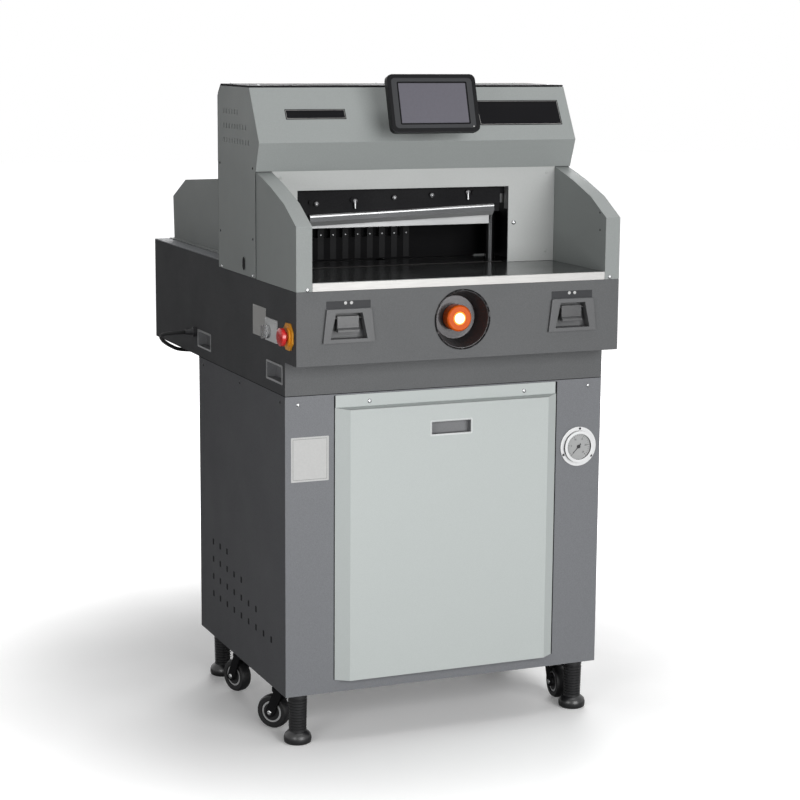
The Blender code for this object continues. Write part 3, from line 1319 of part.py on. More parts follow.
def add_back_gauge(machine):
    """The gauge bar with its comb, its neck through the slot and its carriage on the rods."""
    middle = THROAT_CENTRE_X
    low = TABLE_Z + GAUGE_LIFT
    bar_top = low + GAUGE_BAR_HEIGHT
    top = bar_top + GAUGE_FINGER_HEIGHT
    origin = (middle, GAUGE_FACE_Y, TABLE_Z)
    bar = box(
        (middle - GAUGE_HALF_LENGTH, GAUGE_FACE_Y, low),
        (middle + GAUGE_HALF_LENGTH, GAUGE_FACE_Y + GAUGE_BAR_DEPTH, bar_top),
    )
    gauge = machine.add("back_gauge", bar, "ground_steel", origin)
    wide, deep = GAUGE_FINGER_WIDTH / 2, GAUGE_FINGER_DEPTH
    rooted = GAUGE_BAR_HEIGHT / 2 + GAUGE_LIFT
    high = top - TABLE_Z
    upper = [box((GAUGE_COMB_END, 0, rooted), (GAUGE_HALF_LENGTH, deep, high))]
    for place in range(GAUGE_FINGER_COUNT):
        x = GAUGE_LAST_FINGER - place * GAUGE_FINGER_PITCH
        upper.append(box((x - wide, 0, rooted), (x + wide, deep, high)))
    machine.join(gauge, merged(upper))
    neck_front = GAUGE_NECK_FRONT_Y - GAUGE_FACE_Y
    neck_back = neck_front + GAUGE_NECK_DEPTH
    axis = SCREW_Z - TABLE_Z
    half_height = CARRIAGE_HEIGHT / 2
    neck = box(
        (-GAUGE_NECK_HALF_WIDTH, neck_front, axis),
        (GAUGE_NECK_HALF_WIDTH, neck_back, rooted),
    )
    machine.join(gauge, neck)
    carriage = box(
        (-CARRIAGE_HALF_WIDTH, neck_front - GAUGE_LIFT, axis - half_height),
        (CARRIAGE_HALF_WIDTH, neck_back + GAUGE_LIFT, axis + half_height),
    )
    machine.join(gauge, carriage)
    start, end = neck_front - CUT_OVERRUN, neck_back + CUT_OVERRUN
    holes = [rod(SCREW_RADIUS + RUNNING_GAP, start, end, 24, (0, 0, axis), Y_AXIS)]
    for side in (-1, 1):
        holes.append(rod(RAIL_RADIUS + RUNNING_GAP, start, end, 24, (side * RAIL_OUT, 0, axis), Y_AXIS))
    machine.cut(gauge, merged(holes))


def add_knob(machine):
    """The bowl sunk into the console's front and the turning knob at its bottom."""
    bore = KNOB_SPINDLE_RADIUS + RUNNING_GAP
    bowl = (
        (WELL_RADIUS, 0),
        (WELL_RADIUS, WELL_DEPTH),
        (bore, WELL_DEPTH),
        (bore, WELL_STEP_DEPTH),
        (WELL_STEP_RADIUS, WELL_STEP_DEPTH),
        (WELL_RADIUS - WELL_WALL, 0),
    )
    centre = Matrix.Translation((0, 0, WELL_Z))
    machine.add("knob_well", turned(bowl, 48, centre @ Y_AXIS, ring=True), "black_plastic")
    back = KNOB_LENGTH
    profile = (
        (0, KNOB_LIP / 2),
        (KNOB_LENS_RADIUS, KNOB_LIP / 2),
        (KNOB_LENS_RADIUS, 0),
        (KNOB_RADIUS - KNOB_EDGE, 0),
        (KNOB_RADIUS, KNOB_EDGE),
        (KNOB_RADIUS, back),
        (KNOB_SPINDLE_RADIUS, back),
        (KNOB_SPINDLE_RADIUS, back + KNOB_SPINDLE_LENGTH),
        (0, back + KNOB_SPINDLE_LENGTH),
    )
    place = (0, KNOB_FACE_DEPTH, WELL_Z)
    machine.add_local("control_knob", turned(profile, 32, Y_AXIS), "orange_lens", place)


def add_switches(machine):
    """The two cut switches: a proud bezel with a recess, and a paddle hinged at its top."""
    for name, side in (("left", -1), ("right", 1)):
        bezel_name = name + "_switch_bezel"
        outline = switch_outline(side, 0)
        bezel = machine.add(bezel_name, prism(outline, "Y", -SWITCH_PROUD, -SEAT_GAP), "black_plastic")
        body = switch_outline(side, SWITCH_BODY_MARGIN)
        machine.join(bezel, prism(body, "Y", -SWITCH_PROUD / 2, SWITCH_BODY_DEPTH))
        centre = side * SWITCH_OUT
        recess_top = SWITCH_TOP - SWITCH_RECESS_TOP_DROP
        recess_low = recess_top - SWITCH_RECESS_HEIGHT
        recess = (
            (centre - SWITCH_RECESS_BOTTOM_HALF, recess_low),
            (centre + SWITCH_RECESS_BOTTOM_HALF, recess_low),
            (centre + SWITCH_RECESS_TOP_HALF, recess_top),
            (centre - SWITCH_RECESS_TOP_HALF, recess_top),
        )
        floor = SWITCH_RECESS_DEPTH - SWITCH_PROUD
        machine.cut(bezel, prism(recess, "Y", -SWITCH_PROUD - CUT_OVERRUN, floor))
        paddle_top = recess_top - PADDLE_TOP_DROP
        pin = (centre, PADDLE_PIN_Y, paddle_top - PADDLE_PIN_DROP)
        reach = PADDLE_HALF_WIDTH + PADDLE_PIN_REACH
        hole = PADDLE_PIN_RADIUS + RUNNING_GAP
        end = reach + RUNNING_GAP
        machine.cut(bezel, rod(hole, -end, end, 12, pin, X_AXIS))
        low = PADDLE_PIN_DROP - PADDLE_HEIGHT
        front = PADDLE_FACE_Y - PADDLE_PIN_Y
        section = (
            (front + PADDLE_THICKNESS, PADDLE_PIN_DROP),
            (front, PADDLE_PIN_DROP),
            (front, low + PADDLE_LIP_HEIGHT),
            (front - PADDLE_LIP, low + PADDLE_LIP_HEIGHT / 2),
            (front - PADDLE_LIP, low),
            (front + PADDLE_THICKNESS, low),
        )
        blank = prism(section, "X", -PADDLE_HALF_WIDTH, PADDLE_HALF_WIDTH)
        paddle = machine.add_local(name + "_paddle", blank, "black_plastic", pin)
        machine.join(paddle, rod(PADDLE_PIN_RADIUS, -reach, reach, 12, (0, 0, 0), X_AXIS))


def add_side_controls(machine):
    """The emergency stop and the main isolator on the console's left side."""
    left = -HALF
    turn = Matrix.Rotation(-math.pi / 2, 4, "Y")
    bore = STOP_STEM_RADIUS + RUNNING_GAP
    eight = math.pi / 8
    plate = (
        (bore, SEAT_GAP),
        (STOP_COLLAR_RADIUS, SEAT_GAP),
        (STOP_COLLAR_RADIUS, STOP_COLLAR_PLATE),
        (bore, STOP_COLLAR_PLATE),
    )
    place = Matrix.Translation((left, STOP_Y, STOP_Z)) @ turn
    octagon = turned(plate, 8, place @ Matrix.Rotation(eight, 4, "Z"), ring=True)
    collar = machine.add("e_stop_collar", octagon, "yellow_plastic")
    boss_top = STOP_COLLAR_PLATE + STOP_COLLAR_BOSS
    boss = (
        (bore, SEAT_GAP * 2),
        (STOP_COLLAR_BOSS_RADIUS, SEAT_GAP * 2),
        (STOP_COLLAR_BOSS_RADIUS, boss_top),
        (bore, boss_top),
    )
    machine.join(collar, turned(boss, 24, place, ring=True))
    machine.cut(collar, turned(((bore, -CUT_OVERRUN), (bore, boss_top + CUT_OVERRUN)), 24, place))
    head = STOP_HEAD_LENGTH
    button = (
        (0, -head - STOP_STEM_LENGTH),
        (STOP_STEM_RADIUS, -head - STOP_STEM_LENGTH),
        (STOP_STEM_RADIUS, -head),
        (STOP_HEAD_RADIUS, -head),
        (STOP_HEAD_RADIUS, -head / 3),
        (STOP_STEM_RADIUS, 0),
        (0, 0),
    )
    face = (left - STOP_REACH, STOP_Y, STOP_Z)
    machine.add_local("e_stop_button", turned(button, 24, turn), "red_plastic", face)
    back = ISOLATOR_FRONT_Y + ISOLATOR_LENGTH
    plate = box(
        (left - SEAT_GAP - ISOLATOR_PLATE, ISOLATOR_FRONT_Y, ISOLATOR_TOP - ISOLATOR_HEIGHT),
        (left - SEAT_GAP, back, ISOLATOR_TOP),
    )
    isolator = machine.add("isolator_plate", plate, "brushed_aluminium")
    hole = ISOLATOR_SPINDLE_RADIUS + RUNNING_GAP
    knob_place = (left, ISOLATOR_KNOB_Y, ISOLATOR_KNOB_Z)
    machine.cut(isolator, rod(hole, -CUT_OVERRUN * 2, CUT_OVERRUN, 16, knob_place, X_AXIS))
    base_x = left - SEAT_GAP - ISOLATOR_PLATE - RUNNING_GAP
    base = (
        (0, -ISOLATOR_SPINDLE_LENGTH),
        (ISOLATOR_SPINDLE_RADIUS, -ISOLATOR_SPINDLE_LENGTH),
        (ISOLATOR_SPINDLE_RADIUS, 0),
        (ISOLATOR_KNOB_RADIUS, 0),
        (ISOLATOR_KNOB_RADIUS, ISOLATOR_KNOB_BASE),
        (0, ISOLATOR_KNOB_BASE),
    )
    place = (base_x, ISOLATOR_KNOB_Y, ISOLATOR_KNOB_Z)
    knob = machine.add_local("isolator_knob", turned(base, 24, turn), "black_plastic", place)
    grip = box(
        (-ISOLATOR_KNOB_HEIGHT, -ISOLATOR_GRIP_HALF, -ISOLATOR_KNOB_RADIUS),
        (-ISOLATOR_KNOB_BASE / 2, ISOLATOR_GRIP_HALF, ISOLATOR_KNOB_RADIUS),
    )
    machine.join(knob, grip)


def add_pressure_gauge(machine):
    """The dial gauge let into the cabinet's right stile, and its needle."""
    front = CONSOLE_OVERHANG - SEAT_GAP
    flange = front - GAUGE_FLANGE
    face = flange - GAUGE_BEZEL_PROUD
    floor = face + GAUGE_DIAL_DEPTH
    bore = GAUGE_SPINDLE_RADIUS + RUNNING_GAP
    end = CONSOLE_OVERHANG + GAUGE_BODY_DEPTH
    profile = (
        (0, floor + GAUGE_SPINDLE_DEPTH + RUNNING_GAP),
        (bore, floor + GAUGE_SPINDLE_DEPTH + RUNNING_GAP),
        (bore, floor),
        (GAUGE_DIAL_RADIUS, floor),
        (GAUGE_DIAL_RADIUS, face),
        (GAUGE_BEZEL_RADIUS, face),
        (GAUGE_BEZEL_RADIUS, flange),
        (GAUGE_FLANGE_RADIUS, flange),
        (GAUGE_FLANGE_RADIUS, front),
        (GAUGE_BODY_RADIUS, front),
        (GAUGE_BODY_RADIUS, end),
        (GAUGE_SOCKET_RADIUS, end),
        (GAUGE_SOCKET_RADIUS, end + GAUGE_SOCKET_LENGTH),
        (0, end + GAUGE_SOCKET_LENGTH),
    )
    centre = Matrix.Translation((GAUGE_DIAL_X, 0, DIAL_Z))
    machine.add("pressure_gauge", turned(profile, 32, centre @ Y_AXIS), "black_plastic")
    lift = RUNNING_GAP
    hub = (
        (0, GAUGE_SPINDLE_DEPTH),
        (GAUGE_SPINDLE_RADIUS, GAUGE_SPINDLE_DEPTH),
        (GAUGE_SPINDLE_RADIUS, -lift),
        (GAUGE_NEEDLE_HUB, -lift),
        (GAUGE_NEEDLE_HUB, -lift - GAUGE_NEEDLE_SHEET * 2),
        (0, -lift - GAUGE_NEEDLE_SHEET * 2),
    )
    place = (GAUGE_DIAL_X, floor, DIAL_Z)
    turn = (0, GAUGE_NEEDLE_ANGLE, 0)
    needle = machine.add_local("gauge_needle", turned(hub, 16, Y_AXIS), "black_plastic", place, turn)
    half = GAUGE_NEEDLE_HALF
    thickness = GAUGE_NEEDLE_SHEET
    pointer = ((-half, -GAUGE_NEEDLE_HUB * 2), (half, -GAUGE_NEEDLE_HUB * 2), (0, GAUGE_NEEDLE_LENGTH))
    start = -lift - thickness * 3 / 2
    machine.join(needle, prism(pointer, "Y", start, start + thickness))


def screen_frame(x, along, out):
    """A point beside the screen's pin: across, up along the tilted screen, and out of its face."""
    lean_cos, lean_sin = math.cos(SCREEN_TILT), math.sin(SCREEN_TILT)
    return (x, along * lean_sin - out * lean_cos, along * lean_cos + out * lean_sin)


def rounded_rectangle(half_width, half_height, corner, centre=(0, 0), steps=3):
    """Corners of a rectangle with rounded corners, anticlockwise."""
    outline = []
    for quarter, (x_side, y_side) in enumerate(((1, 1), (-1, 1), (-1, -1), (1, -1))):
        for step in range(steps + 1):
            angle = (quarter + step / steps) * math.pi / 2
            x = x_side * (half_width - corner) + corner * math.cos(angle)
            y = y_side * (half_height - corner) + corner * math.sin(angle)
            outline.append((centre[0] + x, centre[1] + y))
    return outline


def add_screen(machine):
    """The touch screen, tilting on a pin, and its bracket on the fascia."""
    pin = (SCREEN_X, SCREEN_PIN_Y, SCREEN_PIN_Z)
    back = SCREEN_EAR_REACH
    middle = back + SCREEN_BACK
    face = middle + SCREEN_FRONT
    rise = SCREEN_PIN_BELOW
    half_width, half_height = SCREEN_WIDTH / 2, SCREEN_HEIGHT / 2
    front_outline = rounded_rectangle(half_width, half_height, SCREEN_CORNER, (0, rise))
    lean = Matrix.Rotation(-SCREEN_TILT, 4, "X")
    points = [(x, -out, z) for x, z in front_outline for out in (middle, face)]
    back_outline = rounded_rectangle(
        half_width * SCREEN_BACK_SHARE, half_height * SCREEN_BACK_SHARE, SCREEN_CORNER, (0, rise)
    )
    points += [(x, -back, z) for x, z in back_outline]
    blank = hull(points)
    bmesh.ops.transform(blank, matrix=lean, verts=blank.verts)
    screen = machine.add_local("touch_screen", blank, "screen_plastic", pin)
    display = box(
        (-SCREEN_DISPLAY_WIDTH / 2, -face - CUT_OVERRUN, rise - SCREEN_DISPLAY_HEIGHT / 2),
        (SCREEN_DISPLAY_WIDTH / 2, -face + SCREEN_DISPLAY_DEPTH, rise + SCREEN_DISPLAY_HEIGHT / 2),
    )
    bmesh.ops.transform(display, matrix=lean, verts=display.verts)
    machine.cut(screen, display)
    eye = circle(SCREEN_EAR_RADIUS, (0, 0), 16)
    ear_points = [(x, y, z) for y, z in eye for x in (-SCREEN_EAR_HALF, SCREEN_EAR_HALF)]
    root = -back - SCREEN_EAR_OVERLAP
    for x in (-SCREEN_EAR_HALF, SCREEN_EAR_HALF):
        ear_points += [(x, root, -SCREEN_EAR_RADIUS / 2), (x, root, SCREEN_EAR_RADIUS * 2)]
    ear = hull(ear_points)
    bmesh.ops.transform(ear, matrix=lean, verts=ear.verts)
    machine.join(screen, ear)
    bore = BRACKET_PIN_RADIUS + RUNNING_GAP
    long = BRACKET_HALF
    machine.cut(screen, rod(bore, -long, long, 16, (0, 0, 0), X_AXIS))
    add_screen_bracket(machine, pin)


def add_screen_bracket(machine, pin):
    """A plate on the fascia with two arms that hold the screen's pin."""
    slope = Vector((FASCIA_TOP_Y - CREASE_Y, HEAD_TOP - CREASE_Z)).normalized()
    outward = Vector((-slope.y, slope.x))
    reach = (Vector((CREASE_Y, CREASE_Z)) - Vector(pin[1:])).dot(outward)
    seat = outward * (reach + SEAT_GAP)
    top = seat + outward * BRACKET_PLATE
    shift = slope * BRACKET_FOOT_DROP
    half = slope * BRACKET_PLATE_HALF
    section = [seat - half + shift, seat + half + shift, top + half + shift, top - half + shift]
    plate = prism(section, "X", -BRACKET_HALF, BRACKET_HALF)
    bracket = machine.add_local("screen_bracket", plate, "black_plastic", pin)
    root = (seat + top) / 2 + shift
    arm = slope * BRACKET_ARM_HALF
    arms = []
    for side in (-1, 1):
        ends = (side * (BRACKET_HALF - BRACKET_PLATE / 5), side * (BRACKET_HALF - BRACKET_ARM))
        points = [(x, y, z) for y, z in circle(BRACKET_EYE, (0, 0), 16) for x in ends]
        points += [(x, *(root + arm)) for x in ends] + [(x, *(root - arm)) for x in ends]
        arms.append(hull(points))
    machine.join(bracket, merged(arms))
    inside = BRACKET_HALF - BRACKET_ARM / 2
    machine.join(bracket, rod(BRACKET_PIN_RADIUS, -inside, inside, 16, (0, 0, 0), X_AXIS))


def add_feet(machine):
    """Four adjustable feet with ribbed columns, their stems through the cabinet's bottom."""
    top = FOOT_HEIGHT - SEAT_GAP
    ribs_low = FOOT_BASE_HEIGHT
    ribs_high = top - FOOT_COLLAR
    step = (ribs_high - ribs_low) / FOOT_RIB_COUNT
    profile = [
        (0, 0),
        (FOOT_BASE_RADIUS, 0),
        (FOOT_BASE_RADIUS, FOOT_BASE_HEIGHT / 2),
        (FOOT_RADIUS, FOOT_BASE_HEIGHT),
    ]
    for rib in range(FOOT_RIB_COUNT):
        low = ribs_low + rib * step
        profile.append((FOOT_RADIUS - FOOT_RIB_DEPTH, low + step / 4))
        profile.append((FOOT_RADIUS, low + step / 2))
    profile += [
        (FOOT_RADIUS, top),
        (FOOT_STEM_RADIUS, top),
        (FOOT_STEM_RADIUS, top + FOOT_STEM_LENGTH),
        (0, top + FOOT_STEM_LENGTH),
    ]
    for name, x, y in foot_places():
        machine.add_local("foot_" + name, turned(profile, 14), "rubber", (x, y, 0))


def add_casters(machine):
    """Four swivel casters: a fork fixed axle and all, and a wheel running on it."""
    sides = (-1, -1, 1, 1)
    ends = ("front", "rear", "front", "rear")
    for side, end, turn in zip(sides, ends, CASTER_TURNS):
        name = end + ("_left" if side < 0 else "_right")
        y = CASTER_YS[0] if end == "front" else CASTER_YS[1]
        add_caster(machine, name, (side * CASTER_X, y, 0), turn)


def add_caster(machine, name, place, turn):
    """One caster, trailing along the turned +Y of its swivel axis."""
    crown_top = FORK_CROWN_Z + FORK_CROWN_HEIGHT
    crown = (
        (0, FORK_CROWN_Z),
        (FORK_CROWN_RADIUS, FORK_CROWN_Z),
        (FORK_CROWN_RADIUS, crown_top),
        (FORK_KING_RADIUS, crown_top),
        (FORK_KING_RADIUS, FOOT_HEIGHT - SEAT_GAP),
        (0, FOOT_HEIGHT - SEAT_GAP),
    )
    fork_name = "caster_fork_" + name
    fork = machine.add_local(fork_name, turned(crown, 16), "black_paint", place, (0, 0, turn))
    legs = []
    inner = FORK_HALF_WIDTH - FORK_SHEET / 2
    for side in (-1, 1):
        ends = (side * inner, side * (inner + FORK_SHEET))
        root = FORK_CROWN_Z + FORK_CROWN_HEIGHT / 2
        points = [(x, y, z) for y, z in circle(FORK_LEG_HALF, (CASTER_TRAIL, WHEEL_RADIUS), 12) for x in ends]
        for y in (-FORK_LEG_HALF, FORK_LEG_HALF):
            points += [(x, y, root) for x in ends]
        legs.append(hull(points))
    machine.join(fork, merged(legs))
    axle = rod(AXLE_RADIUS, -FORK_HALF_WIDTH, FORK_HALF_WIDTH, 16, (0, CASTER_TRAIL, WHEEL_RADIUS), X_AXIS)
    machine.join(fork, axle)
    rim = WHEEL_RADIUS
    half = WHEEL_HALF_WIDTH
    wheel = (
        (WHEEL_BORE_RADIUS, -WHEEL_HUB_HALF),
        (WHEEL_HUB_RADIUS, -WHEEL_HUB_HALF),
        (WHEEL_HUB_RADIUS, -half + WHEEL_DISH),
        (WHEEL_DISH_RADIUS, -half + WHEEL_DISH),
        (WHEEL_DISH_RADIUS, -half),
        (rim - WHEEL_TREAD_ROUND / 2, -half),
        (rim, -half + WHEEL_TREAD_ROUND),
        (rim, half - WHEEL_TREAD_ROUND),
        (rim - WHEEL_TREAD_ROUND / 2, half),
        (WHEEL_DISH_RADIUS, half),
        (WHEEL_DISH_RADIUS, half - WHEEL_DISH),
        (WHEEL_HUB_RADIUS, half - WHEEL_DISH),
        (WHEEL_HUB_RADIUS, WHEEL_HUB_HALF),
        (WHEEL_BORE_RADIUS, WHEEL_HUB_HALF),
    )
    centre = Matrix.Translation(place) @ Matrix.Rotation(turn, 4, "Z") @ Vector((0, CASTER_TRAIL, WHEEL_RADIUS))
    ring = turned(wheel, 22, X_AXIS, ring=True)
    machine.add_local("caster_wheel_" + name, ring, "rubber", centre, (0, 0, turn))


def add_power_pack(machine):
    """The oil tank on the cabinet's floor, the finned pump unit and the valve block on it."""
    low = FOOT_HEIGHT + CABINET_SHEET + SEAT_GAP
    top = low + TANK_HEIGHT
    centre = (TANK_LEFT_X + TANK_LENGTH / 2, TANK_FRONT_Y + TANK_DEPTH / 2)
    outline = rounded_rectangle(TANK_LENGTH / 2, TANK_DEPTH / 2, TANK_ROUND, centre)
    tank = machine.add("oil_tank", prism(outline, "Z", low, top), "tank_paint")
    neck_place = (TANK_LEFT_X + TANK_NECK_RADIUS * 2, TANK_FRONT_Y + TANK_NECK_RADIUS * 2, top)
    machine.join(tank, rod(TANK_NECK_RADIUS, -TANK_NECK_HEIGHT, TANK_NECK_HEIGHT, 24, neck_place))
    share_x, share_y = PUMP_PLACE_SHARES
    pump_x = TANK_LEFT_X + TANK_LENGTH * share_x
    pump_y = TANK_FRONT_Y + TANK_DEPTH * share_y
    seat = top + SEAT_GAP
    body_top = seat + PUMP_FLANGE + PUMP_MOTOR_LENGTH
    core = (
        (0, seat),
        (PUMP_FLANGE_RADIUS, seat),
        (PUMP_FLANGE_RADIUS, seat + PUMP_FLANGE),
        (PUMP_FAN_RADIUS, seat + PUMP_FLANGE),
        (PUMP_FAN_RADIUS, body_top + PUMP_FAN_HEIGHT),
        (0, body_top + PUMP_FAN_HEIGHT),
    )
    place = Matrix.Translation((pump_x, pump_y, 0))
    pump = machine.add("pump_unit", turned(core, 32, place), "cast_iron")
    finned = []
    for fin in range(PUMP_FIN_COUNT):
        for quarter in range(4):
            angle = (fin + quarter / 4) * 2 * math.pi / PUMP_FIN_COUNT
            radius = PUMP_MOTOR_RADIUS if quarter < 2 else PUMP_MOTOR_RADIUS - PUMP_FIN_DEPTH
            finned.append((pump_x + radius * math.cos(angle), pump_y + radius * math.sin(angle)))
    machine.join(pump, prism(finned, "Z", seat + PUMP_FLANGE * 2, body_top))
    left = TANK_LEFT_X + TANK_LENGTH * VALVE_LEFT_SHARE
    front = centre[1] - VALVE_DEPTH / 2
    block = box((left, front, seat), (left + VALVE_WIDTH, front + VALVE_DEPTH, seat + VALVE_HEIGHT))
    valve = machine.add("valve_block", block, "brushed_aluminium")
    coils = []
    for side in (-1, 1):
        coil_place = (left + VALVE_WIDTH / 2, centre[1] + side * VALVE_COIL_OUT, seat + VALVE_HEIGHT)
        coils.append(rod(VALVE_COIL_RADIUS, -VALVE_COIL_HEIGHT / 4, VALVE_COIL_HEIGHT, 20, coil_place))
    machine.join(valve, merged(coils))


def smooth_path(route, step):
    """Evenly spaced points on the smooth curve through the route points, after one straight run."""
    route = [Vector(point) for point in route]
    padded = route + [route[-1] * 2 - route[-2]]
    fine = []
    parts = 16
    for before, start, end, after in zip(padded, padded[1:], padded[2:], padded[3:]):
        for i in range(parts):
            t = i / parts
            leaving = (end - before) * t / 2
            square = (before * 2 - start * 5 + end * 4 - after) * t * t / 2
            cube = (start * 3 - before - end * 3 + after) * t**3 / 2
            fine.append(start + leaving + square + cube)
    fine.append(route[-1])
    lengths = np.cumsum([0.0] + [(b - a).length for a, b in zip(fine, fine[1:])])
    count = round(float(lengths[-1]) / step)
    places = np.linspace(0, lengths[-1], count + 1)
    columns = [np.interp(places, lengths, [point[axis] for point in fine]) for axis in range(3)]
    return [route[0]] + [Vector(point) for point in zip(*columns)]


def coil_path():
    """The wound cord: in along the lower layer, up a layer where it reverses, and out above."""
    middle = COIL_TURNS / 2
    total = COIL_TURNS * COIL_POINTS
    points = []
    for i in range(total + 1):
        turns = i / COIL_POINTS
        radius = COIL_INNER_RADIUS + COIL_PITCH * abs(turns - middle)
        angle = math.pi / 2 - 2 * math.pi * turns
        climb = min(max((turns - middle) * 2 + 1 / 2, 0), 1)
        rise = climb * climb * (3 - 2 * climb) * COIL_LAYER
        x = COIL_X + radius * math.cos(angle)
        y = COIL_Y + radius * math.sin(angle)
        points.append(Vector((x, y, COIL_LOW_Z + rise)))
    first = points[0] - Vector((CORD_RADIUS * 2, 0, 0))
    tail = [points[-1] + Vector((COIL_TAIL * share, 0, 0)) for share in (1 / 3, 2 / 3, 1)]
    return [first] + points + tail


def least_coil_gap(points):
    """The least distance between the skins of two strands that aren't neighbours along the cord."""
    places = np.array([tuple(point) for point in points])
    apart = np.linalg.norm(places[:, None] - places[None, :], axis=2)
    order = np.abs(np.subtract.outer(np.arange(len(places)), np.arange(len(places))))
    return float(apart[order > COIL_POINTS / 2].min()) - CORD_RADIUS * 2


def add_tube(machine, name, points, resolution, finish):
    """A round tube along points, its origin at the first of them."""
    curve = bpy.data.curves.new(name, "CURVE")
    curve.dimensions = "3D"
    curve.bevel_depth = CORD_RADIUS
    curve.bevel_resolution = resolution
    curve.use_fill_caps = True
    spline = curve.splines.new("POLY")
    spline.points.add(len(points) - 1)
    for target, point in zip(spline.points, points):
        target.co = (*(point - points[0]), 1)
    curve.materials.append(finish_material(finish))
    tube = bpy.data.objects.new(name, curve)
    bpy.context.scene.collection.objects.link(tube)
    tube.parent = machine.carrier
    tube.location = points[0]


def add_cord(machine):
    """The gland on the console's left side, the cord to the floor, its coil and its plug."""
    turn = Matrix.Rotation(-math.pi / 2, 4, "Y")
    nut_end = SEAT_GAP + GLAND_NUT_LENGTH
    gland = (
        (0, -GLAND_SHANK_LENGTH),
        (GLAND_SHANK_RADIUS, -GLAND_SHANK_LENGTH),
        (GLAND_SHANK_RADIUS, SEAT_GAP),
        (GLAND_RADIUS, SEAT_GAP),
        (GLAND_RADIUS, nut_end),
        (GLAND_SHANK_RADIUS, nut_end),
        (GLAND_TIP_RADIUS, nut_end + GLAND_TAPER_LENGTH),
        (0, nut_end + GLAND_TAPER_LENGTH),
    )
    place = Matrix.Translation((-HALF, GLAND_Y, GLAND_Z))
    machine.add("cable_gland", turned(gland, 24, place @ turn), "black_plastic")
    add_tube(machine, "power_cord", smooth_path(CORD_ROUTE, CORD_STEP), 2, "rubber")
    wound = coil_path()
    print("least gap between strands of the coil, mm:", round(least_coil_gap(wound) * 1000, 2))
    add_tube(machine, "cord_coil", wound, 1, "rubber")
    start = wound[-1] + Vector((CORD_END_GAP, 0, 0))
    body = PLUG_NECK_LENGTH + PLUG_LENGTH
    half_height = start.z - CORD_END_GAP
    outline = rounded_rectangle(PLUG_HALF_WIDTH, half_height, PLUG_ROUND)
    plug_body = prism(outline, "X", PLUG_NECK_LENGTH, body)
    plug = machine.add_local("mains_plug", plug_body, "black_plastic", start)
    neck = turned(((GLAND_TIP_RADIUS, 0), (PLUG_NECK_RADIUS * 3 / 2, body / 2)), 24, X_AXIS)
    machine.join(plug, neck)
    pins = []
    for side in (-1, 1):
        pin_place = (body, side * PLUG_PIN_OUT, 0)
        pins.append(rod(PLUG_PIN_RADIUS, -PLUG_PIN_LENGTH / 2, PLUG_PIN_LENGTH, 16, pin_place, X_AXIS))
    machine.join(plug, merged(pins))


def main():
    clear_scene()
    shift = ((STOP_REACH - HEAD_OVERLAP) / 2, (SWITCH_PROUD - MACHINE_DEPTH) / 2, 0)
    machine = Assembly("machine", shift)
    add_cabinet(machine)
    add_front_cover(machine)
    add_console_shell(machine)
    add_table(machine)
    add_table_fittings(machine)
    add_guards(machine)
    add_head_hood(machine)
    add_head_panels(machine)
    add_portal_frame(machine)
    add_rear_guards(machine)
    add_knife_crosshead(machine)
    add_knife(machine)
    add_clamp(machine)
    add_cylinders(machine)
    add_gauge_rails(machine)
    add_lead_screw(machine)
    add_back_gauge(machine)
    add_knob(machine)
    add_switches(machine)
    add_side_controls(machine)
    add_pressure_gauge(machine)
    add_screen(machine)
    add_feet(machine)
    add_casters(machine)
    add_power_pack(machine)
    add_cord(machine)


main()
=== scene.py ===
"""Studio scene of a hydraulic paper cutter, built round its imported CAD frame.

Places are given in machine coordinates, as on a drawing: X from the centre plane, Y from the console's
front face and Z from the floor, in metres. The studio shifts them to the frame's own origin.
"""
import json
import logging
import math
from collections.abc import Callable
from dataclasses import dataclass
from enum import Enum

import bmesh
import bpy
from mathutils import Matrix, Vector
from mathutils.bvhtree import BVHTree

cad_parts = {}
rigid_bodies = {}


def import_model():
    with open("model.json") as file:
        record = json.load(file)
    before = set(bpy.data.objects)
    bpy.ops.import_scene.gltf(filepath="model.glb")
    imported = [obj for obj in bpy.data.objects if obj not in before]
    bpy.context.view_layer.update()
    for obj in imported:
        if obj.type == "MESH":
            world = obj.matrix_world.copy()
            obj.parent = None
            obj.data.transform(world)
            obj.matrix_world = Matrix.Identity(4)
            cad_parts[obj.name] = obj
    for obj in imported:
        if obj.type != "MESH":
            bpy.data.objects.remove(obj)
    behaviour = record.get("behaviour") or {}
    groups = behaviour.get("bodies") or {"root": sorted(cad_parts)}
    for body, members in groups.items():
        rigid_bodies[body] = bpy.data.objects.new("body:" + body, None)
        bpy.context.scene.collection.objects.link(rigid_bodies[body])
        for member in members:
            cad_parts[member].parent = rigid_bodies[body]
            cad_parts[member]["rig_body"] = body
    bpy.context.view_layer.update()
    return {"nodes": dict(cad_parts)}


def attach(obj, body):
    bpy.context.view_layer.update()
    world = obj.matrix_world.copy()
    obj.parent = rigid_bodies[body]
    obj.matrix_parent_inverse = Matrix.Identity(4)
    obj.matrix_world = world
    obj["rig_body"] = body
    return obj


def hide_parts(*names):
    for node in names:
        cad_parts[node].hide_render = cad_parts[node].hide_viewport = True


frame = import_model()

log = logging.getLogger("paper_cutter")
SHIFT = Vector((0.0113, -0.5070, 0.0))

Point = tuple[float, float, float]
Size = tuple[float, float, float]
Colour = tuple[float, float, float]
Pair = tuple[float, float]
Span = tuple[float, float, float, float]
Profile = tuple[tuple[float, float], ...]

